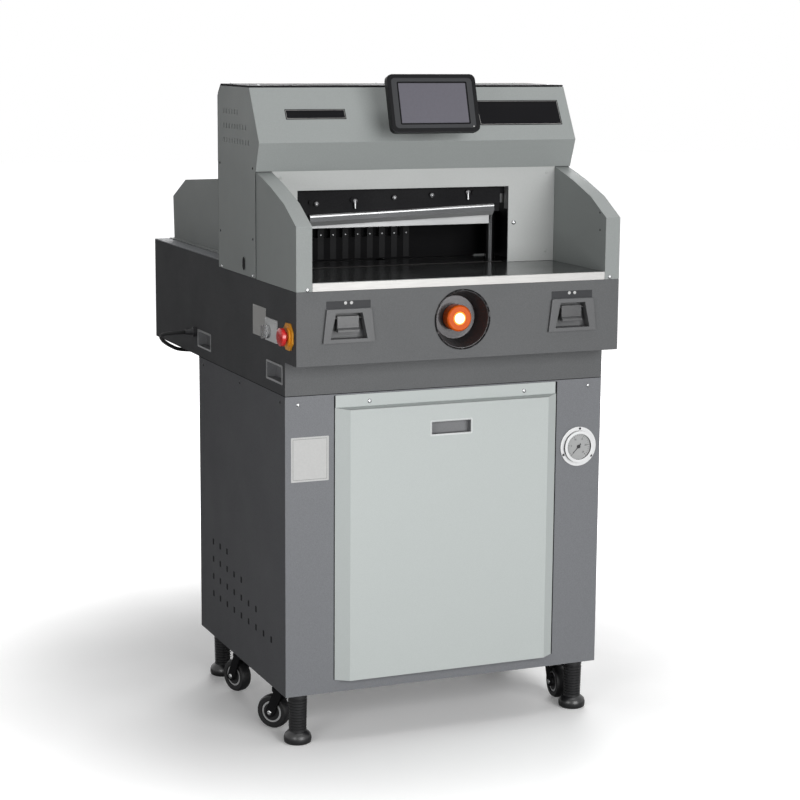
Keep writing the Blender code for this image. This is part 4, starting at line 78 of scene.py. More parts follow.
GRAIN_DETAIL = 3.0
CLOUD_SCALE = 7.0
CLOUD_DETAIL = 4.0
RAMP_SPAN = (0.3, 0.7)
BUMP_STRENGTH = 0.35
COAT_ROUGHNESS = 0.15
LEAST_ROUGHNESS = 0.02
POWDER_BUMP = 0.00008
MOULDING_SCALE = 1500.0
SMOOTH_ANGLE = math.radians(35.0)
ROUNDED_ANGLE = math.radians(30.0)
FLAT_ANGLE = math.radians(1.0)
MERGE_DISTANCE = 0.00001
FLAT_FACE_WEIGHT = 100
GRIP_YS = (0.1335, 0.6195)
GRIP_Z = 0.8036
SCREEN_TILT = math.radians(17)
SCREEN_NORMAL = Vector((0, -math.cos(SCREEN_TILT), math.sin(SCREEN_TILT)))
TO_OPERATOR = Vector((0, -1, 0))
CORNERS = (("front_left", -1, 0), ("rear_left", -1, 1), ("front_right", 1, 0), ("rear_right", 1, 1))


class Axis(Enum):
    """Direction that a turned or pushed piece grows along."""

    RIGHT = (1.0, 0.0, 0.0)
    LEFT = (-1.0, 0.0, 0.0)
    BACK = (0.0, 1.0, 0.0)
    FRONT = (0.0, -1.0, 0.0)
    UP = (0.0, 0.0, 1.0)


SIDES = ((-1, Axis.LEFT, "left"), (1, Axis.RIGHT, "right"))


class Grain(Enum):
    """How the fine structure of a finish runs."""

    EVEN = (1.0, 1.0, 1.0)
    ALONG_X = (0.02, 1.0, 1.0)
    ALONG_Z = (1.0, 1.0, 0.02)


@dataclass(frozen=True)
class Finish:
    """A surface finish with fine grain, slow cloudiness and a bump, all on Object coordinates.

    Attributes:
        name: Name of the material.
        colour: Base colour, linear.
        rough: Mean roughness.
        metal: Metallic share.
        grain: Direction of the grain.
        scale: Grain cells per metre.
        fleck: How far the grain moves the colour.
        cloud: How far slow patches move the roughness.
        bump: Depth of the grain, in metres.
        coat: Weight of a clear coat.
        gloss: Level of the plain reflection.
    """

    name: str
    colour: Colour
    rough: float = 0.5
    metal: float = 0.0
    grain: Grain = Grain.EVEN
    scale: float = 900.0
    fleck: float = 0.12
    cloud: float = 0.08
    bump: float = 0.00005
    coat: float = 0.0
    gloss: float = 0.5

    def material(self) -> bpy.types.Material:
        """The finish as a material, made once."""
        name = self.name + "_finish"
        found = bpy.data.materials.get(name)
        if found:
            return found
        made = bpy.data.materials.new(name)
        made.use_nodes = True
        tree = made.node_tree
        shader = tree.nodes["Principled BSDF"]
        shader.inputs["Metallic"].default_value = self.metal
        shader.inputs["Coat Weight"].default_value = self.coat
        shader.inputs["Specular IOR Level"].default_value = self.gloss
        shader.inputs["Coat Roughness"].default_value = COAT_ROUGHNESS
        place = tree.nodes.new("ShaderNodeTexCoord")
        mapping = tree.nodes.new("ShaderNodeMapping")
        mapping.inputs["Scale"].default_value = self.grain.value
        tree.links.new(place.outputs["Object"], mapping.inputs["Vector"])
        fine = self.noise(tree, mapping.outputs["Vector"], self.scale, GRAIN_DETAIL)
        slow = self.noise(tree, place.outputs["Object"], CLOUD_SCALE, CLOUD_DETAIL)
        dark = tuple(c * (1 - self.fleck) for c in self.colour)
        light = tuple(min(1.0, c * (1 + self.fleck)) for c in self.colour)
        self.ramp(tree, fine, shader.inputs["Base Color"], (*dark, 1.0), (*light, 1.0))
        low = max(LEAST_ROUGHNESS, self.rough - self.cloud)
        high = min(1.0, self.rough + self.cloud)
        self.ramp(tree, slow, shader.inputs["Roughness"], (low, low, low, 1.0), (high, high, high, 1.0))
        bump = tree.nodes.new("ShaderNodeBump")
        bump.inputs["Strength"].default_value = BUMP_STRENGTH
        bump.inputs["Distance"].default_value = self.bump
        tree.links.new(fine, bump.inputs["Height"])
        tree.links.new(bump.outputs["Normal"], shader.inputs["Normal"])
        return made

    @staticmethod
    def noise(
        tree: bpy.types.NodeTree, place: bpy.types.NodeSocket, scale: float, detail: float
    ) -> bpy.types.NodeSocket:
        """A noise pattern read at a place.

        Args:
            tree: Node tree that gets the pattern.
            place: Coordinates it is read at.
            scale: Cells per metre.
            detail: Octaves.

        Returns:
            The pattern's value.
        """
        pattern = tree.nodes.new("ShaderNodeTexNoise")
        pattern.inputs["Scale"].default_value = scale
        pattern.inputs["Detail"].default_value = detail
        tree.links.new(place, pattern.inputs["Vector"])
        return pattern.outputs["Fac"]

    @staticmethod
    def ramp(
        tree: bpy.types.NodeTree,
        value: bpy.types.NodeSocket,
        target: bpy.types.NodeSocket,
        low: tuple[float, ...],
        high: tuple[float, ...],
    ) -> None:
        """Spreads a pattern's value between two colours.

        Args:
            tree: Node tree that gets the ramp.
            value: Pattern.
            target: Socket that takes the colour.
            low: Colour of the pattern's low part.
            high: Colour of its high part.
        """
        ramp = tree.nodes.new("ShaderNodeValToRGB")
        for element, position, colour in zip(ramp.color_ramp.elements, RAMP_SPAN, (low, high)):
            element.position = position
            element.color = colour
        tree.links.new(value, ramp.inputs["Fac"])
        tree.links.new(ramp.outputs["Color"], target)


@dataclass(frozen=True)
class Glow:
    """A lit surface: one colour with a soft texture and its own light.

    Attributes:
        name: Name of the material.
        colour: Colour of surface and light.
        strength: Strength of its light.
        rough: Mean roughness.
        fleck: How far the grain moves the colour.
    """

    name: str
    colour: Colour
    strength: float
    rough: float = 0.3
    fleck: float = 0.04

    def material(self) -> bpy.types.Material:
        """The lit surface as a material."""
        made = Finish(self.name, self.colour, self.rough, fleck=self.fleck).material()
        shader = made.node_tree.nodes["Principled BSDF"]
        shader.inputs["Emission Color"].default_value = (*self.colour, 1.0)
        shader.inputs["Emission Strength"].default_value = self.strength
        return made


def powder(name: str, colour: Colour, rough: float, fleck: float, gloss: float = 0.22) -> Finish:
    """A powder-coated sheet: its name, colour, roughness, fleck and gloss, with the coat's own bump."""
    return Finish(name, colour, rough, fleck=fleck, bump=POWDER_BUMP, gloss=gloss)


def steel(
    name: str, colour: Colour, rough: float, metal: float,
    scale: float, fleck: float, cloud: float, bump: float,
) -> Finish:
    """Metal that is ground or brushed along X, its values in the order of a finish."""
    return Finish(name, colour, rough, metal, Grain.ALONG_X, scale, fleck, cloud, bump)


def moulding(name: str, colour: Colour, rough: float, fleck: float, gloss: float = 0.5) -> Finish:
    """A plastic moulding: its name, colour, roughness, fleck and gloss, with the fine grain of its mould."""
    return Finish(name, colour, rough, scale=MOULDING_SCALE, fleck=fleck, gloss=gloss)


@dataclass(frozen=True)
class Finishes:
    """Every finish of the machine."""

    # The first two are darker copies of the console's and the cabinet's front paint: painted shade on their
    # flanks.
    side: Finish = powder("console_flank_painted_shade", (0.062, 0.063, 0.066), 0.56, 0.30, 0.06)
    cabinet: Finish = powder("cabinet_flank_painted_shade", (0.112, 0.114, 0.121), 0.56, 0.30, 0.06)
    front: Finish = powder("slate_powder", (0.184, 0.190, 0.202), 0.46, 0.16)
    console: Finish = powder("graphite_powder", (0.112, 0.115, 0.118), 0.50, 0.16)
    cover: Finish = powder("silver_grey_powder", (0.500, 0.535, 0.525), 0.44, 0.05)
    head: Finish = powder("pale_grey_powder", (0.280, 0.298, 0.293), 0.42, 0.08)
    # A lighter copy of the head's paint for the throat's front plate: painted light, making up for the shade
    # of its recess between the guards and under the brow.
    plate: Finish = Finish(
        "throat_plate_painted_light", (0.450, 0.463, 0.456), 0.42, fleck=0.07, bump=0.00006, gloss=0.22
    )
    # Black paint of the lid, motor and forks; also painted shade: on the inside of the head, in the head's
    # ports and over the flank vents.
    black_sheet: Finish = Finish("black_sheet", (0.013, 0.013, 0.014), 0.60, fleck=0.25, gloss=0.04)
    table: Finish = steel("polished_table", (0.150, 0.155, 0.155), 0.16, 0.85, 700.0, 0.14, 0.04, 0.00001)
    casting: Finish = Finish(
        "dark_casting", (0.007, 0.007, 0.008), 0.55, scale=420.0, fleck=0.30, bump=0.0002, gloss=0.08
    )
    ground: Finish = steel("ground_steel", (0.300, 0.303, 0.306), 0.42, 0.6, 1400.0, 0.10, 0.05, 0.00001)
    # Steel darkened far below its own brightness: a painted dark reflection, for the dark that the blade's
    # polished face mirrors.
    blade: Finish = steel("blade_dark_reflection_steel", (0.050, 0.051, 0.053), 0.38, 0.7, 1800.0, 0.12, 0.06, 0.00001)
    chrome: Finish = Finish(
        "chromed_rod", (0.720, 0.730, 0.740), 0.07, 1.0, Grain.ALONG_Z, 600.0, 0.04, 0.02, 0.0
    )
    brushed: Finish = Finish(
        "brushed_aluminium", (0.430, 0.425, 0.415), 0.42, 0.5, Grain.ALONG_X, 1600.0, 0.08, 0.05, 0.00002
    )
    screw: Finish = Finish("zinc_screw", (0.450, 0.455, 0.460), 0.26, 1.0, scale=500.0, fleck=0.10)
    dark_screw: Finish = Finish(
        "black_oxide_screw", (0.035, 0.035, 0.037), 0.36, 0.7, scale=500.0, fleck=0.20
    )
    plastic: Finish = moulding("black_moulding", (0.016, 0.016, 0.018), 0.42, 0.20)
    grey_plastic: Finish = moulding("screen_moulding", (0.034, 0.035, 0.038), 0.46, 0.10, 0.20)
    red: Finish = Finish("red_button", (0.560, 0.012, 0.012), 0.28, scale=600.0, fleck=0.08, coat=0.4)
    yellow: Finish = Finish("yellow_collar", (0.780, 0.330, 0.015), 0.36, scale=600.0, fleck=0.06)
    orange: Finish = Finish("orange_ring", (0.640, 0.095, 0.005), 0.34, scale=600.0, fleck=0.06, gloss=0.2)
    white: Finish = Finish("white_label", (0.500, 0.502, 0.496), 0.40, scale=300.0, fleck=0.03)
    dark_label: Finish = Finish(
        "black_label", (0.006, 0.006, 0.007), 0.60, scale=900.0, fleck=0.12, gloss=0.05
    )
    rubber: Finish = Finish(
        "black_rubber", (0.009, 0.009, 0.010), 0.70, scale=700.0, fleck=0.30, bump=0.0001, gloss=0.3
    )
    foot: Finish = Finish(
        "foot_moulding", (0.010, 0.010, 0.011), 0.30, scale=700.0, fleck=0.20, bump=0.0001, gloss=0.6
    )
    stick: Finish = Finish("cutting_stick", (0.060, 0.058, 0.055), 0.48, scale=400.0, fleck=0.10)
    blue: Finish = Finish("tank_paint", (0.095, 0.125, 0.165), 0.42, scale=500.0, fleck=0.10)
    display: Finish = Finish(
        "display_glass", (0.085, 0.081, 0.104), 0.14, scale=200.0, fleck=0.03, cloud=0.02, bump=0.0, coat=0.6
    )
    switch: Finish = moulding("switch_moulding", (0.090, 0.092, 0.095), 0.44, 0.14)
    # Near-black copy of the screen housing's plastic: painted shade on its sides, back and rounded front
    # edge.
    gloss_edge: Finish = moulding("screen_edge_painted_shade", (0.010, 0.010, 0.011), 0.34, 0.10, 0.08)
    paddle: Finish = moulding("paddle_moulding", (0.070, 0.071, 0.073), 0.22, 0.10)
    # Near black, as painted shade on the back gauge's front faces, backing and wing deep in the throat.
    gauge_steel: Finish = Finish(
        "shaded_gauge", (0.004, 0.004, 0.0045), 0.60, 0.0, Grain.ALONG_X, 1200.0, 0.20, 0.06, 0.00001,
        gloss=0.05,
    )
    well: Finish = Finish(
        "polished_well", (0.060, 0.058, 0.060), 0.22, 0.6, scale=500.0, fleck=0.12, cloud=0.04
    )
    # The back gauge's body darkened as painted shade, for the little light in the throat.
    gauge_back: Finish = Finish(
        "back_gauge_painted_shade", (0.055, 0.056, 0.058), 0.45, scale=500.0, fleck=0.20, bump=0.0001, gloss=0.2
    )
    # The fingers' faces in dark grey: painted shade of the throat.
    finger: Finish = Finish("finger_painted_shade", (0.011, 0.011, 0.012), 0.55, scale=900.0, fleck=0.15, gloss=0.1)
    socket: Finish = Finish("socket_screw", (0.170, 0.170, 0.175), 0.26, 0.7, scale=500.0, fleck=0.15)
    # A lighter copy of the knife's steel: painted light on its downward bevel, for the light that the table
    # throws up.
    bevel: Finish = steel("bevel_steel_painted_light", (0.300, 0.303, 0.308), 0.40, 0.4, 1800.0, 0.08, 0.05, 0.0)
    shaded_rod: Finish = Finish(
        "shaded_rod", (0.060, 0.061, 0.063), 0.30, 0.8, Grain.ALONG_Z, 600.0, 0.06, 0.03, 0.0
    )
    # A lighter copy of the knife's steel: a painted highlight on the knife's top faces and top line; the
    # studs take it too.
    edge: Finish = steel("knife_highlight_steel", (0.420, 0.425, 0.430), 0.30, 0.8, 1800.0, 0.08, 0.05, 0.0)
    # Grey of the plastic inserts in the console's grips; in the cover's pull the same grey is painted shade,
    # darker than the cover's paint.
    pocket: Finish = Finish("grip_insert_grey_and_pull_shade", (0.200, 0.203, 0.210), 0.50, fleck=0.12, gloss=0.25)
    # A lighter copy of the cover's paint: a painted highlight on the pull's rim.
    pull_rim: Finish = powder("pull_rim_highlight_powder", (0.640, 0.665, 0.660), 0.42, 0.05)
    flange: Finish = Finish("polished_flange", (0.760, 0.765, 0.770), 0.30, 0.2, scale=500.0, fleck=0.04)
    bezel: Finish = Finish("shaded_bezel", (0.110, 0.110, 0.112), 0.25, 0.7, scale=500.0, fleck=0.10)
    dial: Finish = Finish("dial_face", (0.380, 0.385, 0.385), 0.30, scale=300.0, fleck=0.02, coat=0.5)
    grip_rim: Finish = Finish("grip_rim", (0.300, 0.305, 0.310), 0.40, scale=900.0, fleck=0.10)
    white_ring: Finish = Finish("pale_ring", (0.600, 0.605, 0.610), 0.40, scale=500.0, fleck=0.08)
    wheel: Finish = Finish("wheel_moulding", (0.010, 0.010, 0.011), 0.45, scale=900.0, fleck=0.2)
    lit_white: Glow = Glow("lit_lens", (1.000, 0.930, 0.820), 1.6)
    lit_orange: Glow = Glow("lit_ring", (1.000, 0.300, 0.030), 0.85)


FINISH = Finishes()


def place(x: float, y: float, z: float) -> Vector:
    """A point of the drawing in the frame's own coordinates."""
    return Vector((x, y, z)) + SHIFT


class Bench:
    """Blender's modelling operators, each started from an empty selection."""

    @staticmethod
    def clear() -> None:
        """Leaves edit mode and selects nothing."""
        if bpy.context.object and bpy.context.object.mode != "OBJECT":
            bpy.ops.object.mode_set(mode="OBJECT")
        bpy.ops.object.select_all(action="DESELECT")

    @staticmethod
    def add(name: str, data: bpy.types.ID) -> bpy.types.Object:
        """Adds an object with its data to the scene."""
        made = bpy.data.objects.new(name, data)
        bpy.context.scene.collection.objects.link(made)
        return made

    @staticmethod
    def take(piece: bpy.types.Object) -> None:
        """Makes a piece the only one selected.

        Args:
            piece: Piece to work on.
        """
        Bench.clear()
        piece.hide_set(False)
        piece.select_set(True)
        bpy.context.view_layer.objects.active = piece

    @staticmethod
    def settle(piece: bpy.types.Object) -> bpy.types.Object:
        """Moves a piece's place, turn and size into its mesh.

        Args:
            piece: Piece to settle.

        Returns:
            The same piece.
        """
        Bench.take(piece)
        bpy.ops.object.transform_apply(location=True, rotation=True, scale=True)
        return piece

    @staticmethod
    def soften(piece: bpy.types.Object, width: float, segments: int = 2) -> bpy.types.Object:
        """Rounds a piece's sharp edges and shades it smooth.

        Args:
            piece: Piece to round.
            width: Width of the rounding.
            segments: Steps of the rounding.

        Returns:
            The same piece.
        """
        Bench.take(piece)
        if width > 0:
            modifier = piece.modifiers.new("edges", "BEVEL")
            modifier.width = width
            modifier.segments = segments
            modifier.limit_method = "ANGLE"
            modifier.angle_limit = ROUNDED_ANGLE
            modifier.use_clamp_overlap = True
            bpy.ops.object.modifier_apply(modifier=modifier.name)
        bpy.ops.object.shade_smooth_by_angle(angle=SMOOTH_ANGLE)
        weighted = piece.modifiers.new("normals", "WEIGHTED_NORMAL")
        weighted.mode = "FACE_AREA"
        weighted.weight = FLAT_FACE_WEIGHT
        weighted.keep_sharp = True
        bpy.ops.object.modifier_apply(modifier=weighted.name)
        return piece

    @staticmethod
    def block(name: str, low: Point, high: Point, edge: float) -> bpy.types.Object:
        """A block between two corners of the drawing, its edges rounded.

        Args:
            name: Name of the piece.
            low: Lowest corner.
            high: Highest corner.
            edge: Width of the rounding.

        Returns:
            The piece.
        """
        Bench.clear()
        a, b = place(*low), place(*high)
        bpy.ops.mesh.primitive_cube_add(size=1.0, location=(a + b) / 2)
        piece = bpy.context.object
        piece.name = name
        piece.scale = b - a
        Bench.settle(piece)
        return Bench.soften(piece, edge)

    @staticmethod
    def turned(
        name: str,
        profile: Profile,
        at: Point,
        axis: Axis | Vector,
        sides: int,
    ) -> bpy.types.Object:
        """A turned piece: a disc that is extruded and scaled along a profile.

        Args:
            name: Name of the piece.
            profile: Radius and height of each ring, from the base on.
            at: Foot of its axis on the drawing.
            axis: Direction of its axis.
            sides: Facets round it.

        Returns:
            The piece.
        """
        Bench.clear()
        radius, height = profile[0]
        bpy.ops.mesh.primitive_circle_add(vertices=sides, radius=radius, fill_type="NGON", location=(0, 0, 0))
        piece = bpy.context.object
        piece.name = name
        bpy.ops.object.mode_set(mode="EDIT")
        bpy.ops.mesh.select_all(action="SELECT")
        bpy.ops.transform.translate(value=(0, 0, height))
        for next_radius, next_height in profile[1:]:
            step = {"value": (0, 0, next_height - height)}
            bpy.ops.mesh.extrude_region_move(TRANSFORM_OT_translate=step)
            if next_radius != radius:
                share = next_radius / radius
                bpy.ops.transform.resize(value=(share, share, 1), center_override=(0, 0, next_height))
            radius, height = next_radius, next_height
        bpy.ops.mesh.select_all(action="SELECT")
        bpy.ops.mesh.normals_make_consistent(inside=False)
        bpy.ops.object.mode_set(mode="OBJECT")
        direction = Vector(axis.value) if isinstance(axis, Axis) else axis
        piece.rotation_mode = "QUATERNION"
        piece.rotation_quaternion = Vector((0, 0, 1)).rotation_difference(direction)
        piece.location = place(*at)
        Bench.settle(piece)
        return Bench.soften(piece, 0)

    @staticmethod
    def refined(name: str, node: str, edge: float) -> bpy.types.Object:
        """A finer copy of a CAD node: doubles merged, flat faces joined, edges rounded.

        Args:
            name: Name of the piece.
            node: CAD node that it stands for.
            edge: Width of the rounding.

        Returns:
            The piece.
        """
        Bench.clear()
        source = frame["nodes"][node]
        piece = Bench.add(name, source.data.copy())
        piece.data.materials.clear()
        Bench.take(piece)
        bpy.ops.object.mode_set(mode="EDIT")
        bpy.ops.mesh.select_all(action="SELECT")
        bpy.ops.mesh.remove_doubles(threshold=MERGE_DISTANCE)
        bpy.ops.mesh.dissolve_limited(angle_limit=FLAT_ANGLE)
        bpy.ops.object.mode_set(mode="OBJECT")
        if piece.data.has_custom_normals:
            bpy.ops.mesh.customdata_custom_splitnormals_clear()
        Bench.soften(piece, edge)
        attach(piece, source["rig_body"])
        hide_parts(node)
        return piece

    @staticmethod
    def dress(
        piece: bpy.types.Object, finish: Finish | Glow, slot: str, body: str | None = None
    ) -> bpy.types.Object:
        """Gives a piece its finish and the body that it rides on.

        Args:
            piece: Piece to dress.
            finish: Its finish.
            slot: The record's material slot; not used.
            body: Body it rides on, or None where it rides already.

        Returns:
            The same piece.
        """
        piece.data.materials.clear()
        piece.data.materials.append(finish.material())
        if body:
            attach(piece, body)
        log.info("built %s", piece.name)
        return piece


@dataclass
class Studio:
    """Camera, lamps, white surroundings and pale floor.

    Each row of lamps holds a name, a place, the side of the lamp's square and its power.
    """

    eye: Point = (-1.77802, -3.87696, 1.49051)
    azimuth: float = math.radians(22.8949)
    elevation: float = math.radians(9.9547)
    roll: float = math.radians(0.4223)
    focal: float = 92.372
    sensor: float = 36.0
    far_clip: float = 60.0
    aim: Point = (0.0, 0.4, 0.8)
    ambient: float = 0.07
    near_white: float = 0.12
    floor_colour: Colour = (0.42, 0.42, 0.42)
    floor_seen: Colour = (0.95, 0.95, 0.95)
    floor_size: float = 40.0
    floor_drop: float = 0.0006
    floor_rough: float = 0.85
    floor_fleck: float = 0.01
    white_from: float = 0.55
    white_to: float = 1.60
    lamps: tuple[tuple[str, Point, float, float], ...] = (
        ("key", (0.95, -4.6, 1.7), 3.0, 182.0),
        ("top", (0.6, 0.2, 4.2), 3.0, 72.0),
        ("rear", (2.2, 4.6, 2.4), 2.6, 120.0),
        ("side_fill", (-1.70, -1.30, 0.90), 0.9, 12.0),
    )

    def camera(self) -> None:
        """Sets the camera at the photograph's place and angle."""
        data = bpy.data.cameras.new("camera")
        data.sensor_width = self.sensor
        data.lens = self.focal
        data.clip_end = self.far_clip
        camera = Bench.add("camera", data)
        level = math.cos(self.elevation)
        forward = Vector(
            (math.sin(self.azimuth) * level, math.cos(self.azimuth) * level, -math.sin(self.elevation))
        )
        right = Vector((math.cos(self.azimuth), -math.sin(self.azimuth), 0.0))
        up = right.cross(forward)
        turned_right = right * math.cos(self.roll) + up * math.sin(self.roll)
        turned_up = up * math.cos(self.roll) - right * math.sin(self.roll)
        turn = Matrix((turned_right, turned_up, -forward)).transposed()
        camera.matrix_world = Matrix.Translation(place(*self.eye)) @ turn.to_4x4()
        bpy.context.scene.camera = camera

    def lamp(self, name: str, at: Point, size: float, power: float) -> None:
        """A square soft lamp that looks at the machine.

        Args:
            name: Name of the lamp.
            at: Its place.
            size: Its side.
            power: Its power in watts.
        """
        data = bpy.data.lights.new(name, "AREA")
        data.shape = "SQUARE"
        data.size = size
        data.energy = power
        lamp = Bench.add(name, data)
        lamp.location = place(*at)
        aim = place(*self.aim) - lamp.location
        lamp.rotation_euler = aim.to_track_quat("-Z", "Y").to_euler()

    def surroundings(self) -> None:
        """White where it is seen directly or mirrored, and a plain grey light elsewhere."""
        world = bpy.data.worlds.new("studio")
        bpy.context.scene.world = world
        world.use_nodes = True
        tree = world.node_tree
        shade = tree.nodes["Background"]
        path = tree.nodes.new("ShaderNodeLightPath")
        total = path.outputs["Is Camera Ray"]
        for kind in ("Is Glossy Ray", "Is Transmission Ray"):
            most = tree.nodes.new("ShaderNodeMath")
            most.operation = "MAXIMUM"
            tree.links.new(total, most.inputs[0])
            tree.links.new(path.outputs[kind], most.inputs[1])
            total = most.outputs[0]
        strength = tree.nodes.new("ShaderNodeMapRange")
        strength.inputs["To Min"].default_value = self.ambient
        strength.inputs["To Max"].default_value = 1.0
        tree.links.new(total, strength.inputs["Value"])
        tree.links.new(strength.outputs["Result"], shade.inputs["Strength"])
        shade.inputs["Color"].default_value = (1.0, 1.0, 1.0, 1.0)

    def floor(self) -> None:
        """A wide pale floor that keeps the machine's shadow and is seen white farther off."""
        Bench.clear()
        bpy.ops.mesh.primitive_plane_add(size=self.floor_size, location=(0, 0, -self.floor_drop))
        floor = bpy.context.object
        floor.name = "floor"
        made = Finish("pale_floor", self.floor_colour, self.floor_rough, fleck=self.floor_fleck).material()
        floor.data.materials.append(made)
        tree = made.node_tree
        path = tree.nodes.new("ShaderNodeLightPath")
        paler = tree.nodes.new("ShaderNodeMix")
        paler.data_type = "RGBA"
        # The colours of a Mix node are its sockets 6 and 7, and its result is socket 2.
        paler.inputs[6].default_value = (*self.floor_colour, 1.0)
        paler.inputs[7].default_value = (*self.floor_seen, 1.0)
        shader = tree.nodes["Principled BSDF"]
        tree.links.new(path.outputs["Is Camera Ray"], paler.inputs[0])
        tree.links.new(paler.outputs[2], shader.inputs["Base Color"])
        shader.inputs["Emission Color"].default_value = (1.0, 1.0, 1.0, 1.0)
        tree.links.new(self.seen_white(tree), shader.inputs["Emission Strength"])

    def seen_white(self, tree: bpy.types.NodeTree) -> bpy.types.NodeSocket:
        """How far the floor is plain white to the camera: a little at the machine, wholly far from it.

        Args:
            tree: Node tree of the floor's material.

        Returns:
            The share of white, which is nothing for rays that light the machine.
        """
        spot = tree.nodes.new("ShaderNodeTexCoord")
        reach = tree.nodes.new("ShaderNodeVectorMath")
        reach.operation = "LENGTH"
        tree.links.new(spot.outputs["Object"], reach.inputs[0])
        share = tree.nodes.new("ShaderNodeMapRange")
        share.interpolation_type = "SMOOTHSTEP"
        share.inputs["From Min"].default_value = self.white_from
        share.inputs["From Max"].default_value = self.white_to
        share.inputs["To Min"].default_value = self.near_white
        share.inputs["To Max"].default_value = 1.0
        tree.links.new(reach.outputs["Value"], share.inputs["Value"])
        path = tree.nodes.new("ShaderNodeLightPath")
        seen = tree.nodes.new("ShaderNodeMath")
        seen.operation = "MULTIPLY"
        tree.links.new(path.outputs["Is Camera Ray"], seen.inputs[0])
        tree.links.new(share.outputs["Result"], seen.inputs[1])
        return seen.outputs["Value"]

    def build(self) -> None:
        """Builds the studio."""
        self.camera()
        self.surroundings()
        self.floor()
        for name, at, size, power in self.lamps:
            self.lamp(name, at, size, power)
        bpy.context.scene.view_settings.view_transform = "Standard"
        log.info("studio ready")


@dataclass
class MainsLead:
    """The mains lead: out of its gland, along the console, down behind the cabinet and into its coil."""

    radius: float = 0.0045
    centre: Pair = (0.0500, 0.8000)
    inner: float = 0.0415
    pitch: float = 0.0096
    turns: int = 5
    points: int = 48
    low: float = 0.0048
    tail: float = 0.0603
    tail_steps: int = 6
    parts: int = 6
    bevel_steps: int = 4
    plug_edge: float = 0.0008
    gland_edge: float = 0.0005
    route: tuple[Point, ...] = (
        (-0.3977, 0.6840, 0.8155), (-0.4060, 0.6840, 0.8155), (-0.4240, 0.6887, 0.8143),
        (-0.4370, 0.7015, 0.8112), (-0.4410, 0.7190, 0.8068), (-0.4375, 0.7435, 0.8003),
        (-0.4305, 0.7670, 0.7925), (-0.4205, 0.7885, 0.7833), (-0.4070, 0.8075, 0.7735),
        (-0.3905, 0.8235, 0.7635), (-0.3705, 0.8345, 0.7540), (-0.3465, 0.8395, 0.7495),
        (-0.3205, 0.8405, 0.7480), (-0.2950, 0.8385, 0.7475), (-0.2720, 0.8345, 0.7480),
        (-0.2400, 0.8320, 0.7480), (-0.2180, 0.8320, 0.7480),
        (-0.1990, 0.8370, 0.7410), (-0.1870, 0.8410, 0.7250), (-0.1820, 0.8430, 0.7020),
        (-0.1810, 0.8440, 0.6700), (-0.1810, 0.8450, 0.6000), (-0.1810, 0.8450, 0.5000),
        (-0.1810, 0.8450, 0.4000), (-0.1810, 0.8450, 0.3000), (-0.1810, 0.8450, 0.2000),
        (-0.1780, 0.8450, 0.1200), (-0.1700, 0.8460, 0.0700), (-0.1500, 0.8500, 0.0320),
        (-0.1180, 0.8560, 0.0120), (-0.0800, 0.8620, 0.0048), (-0.0400, 0.8655, 0.0048),
        (0.0000, 0.8655, 0.0048), (0.0400, 0.8655, 0.0048),
    )

    def free_run(self) -> list[Vector]:
        """Points on the smooth curve through the route, straight out of the gland first."""
        route = [Vector(point) for point in self.route]
        padded = [route[0] * 2 - route[1], *route, route[-1] * 2 - route[-2]]
        found: list[Vector] = []
        for before, start, end, after in zip(padded, padded[1:], padded[2:], padded[3:]):
            for i in range(self.parts):
                t = i / self.parts
                square = (before * 2 - start * 5 + end * 4 - after) * t * t / 2
                cube = (start * 3 - before - end * 3 + after) * t**3 / 2
                found.append(start + (end - before) * t / 2 + square + cube)
        return found

    def coil(self) -> list[Vector]:
        """Points of the coil: inwards below, up a layer where it reverses, outwards above, and its tail."""
        found: list[Vector] = []
        for i in range(self.turns * self.points + 1):
            turn = i / self.points
            radius = self.inner + self.pitch * abs(turn - self.turns / 2)
            angle = math.pi / 2 - 2 * math.pi * turn
            climb = min(max((turn - self.turns / 2) * 2 + 0.5, 0.0), 1.0)
            rise = climb * climb * (3 - 2 * climb) * self.pitch
            x, y = self.centre[0] + radius * math.cos(angle), self.centre[1] + radius * math.sin(angle)
            found.append(Vector((x, y, self.low + rise)))
        step = Vector((self.tail / self.tail_steps, 0, 0))
        return found + [found[-1] + step * number for number in range(1, self.tail_steps + 1)]

    def build(self) -> None:
        points = [place(*point) for point in self.free_run() + self.coil()]
        data = bpy.data.curves.new("mains_lead", "CURVE")
        data.dimensions = "3D"
        data.bevel_depth = self.radius
        data.bevel_resolution = self.bevel_steps
        data.use_fill_caps = True
        spline = data.splines.new("POLY")
        spline.points.add(len(points) - 1)
        for target, point in zip(spline.points, points):
            target.co = (*point, 1.0)
        lead = Bench.add("mains_lead", data)
        data.materials.append(FINISH.rubber.material())
        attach(lead, "machine")
        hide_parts("power_cord", "cord_coil")
        plug = Bench.refined("mains_plug_moulding", "mains_plug", self.plug_edge)
        Bench.dress(plug, FINISH.rubber, "rubber")
        gland = Bench.refined("mains_gland", "cable_gland", self.gland_edge)
        Bench.dress(gland, FINISH.plastic, "black_plastic")


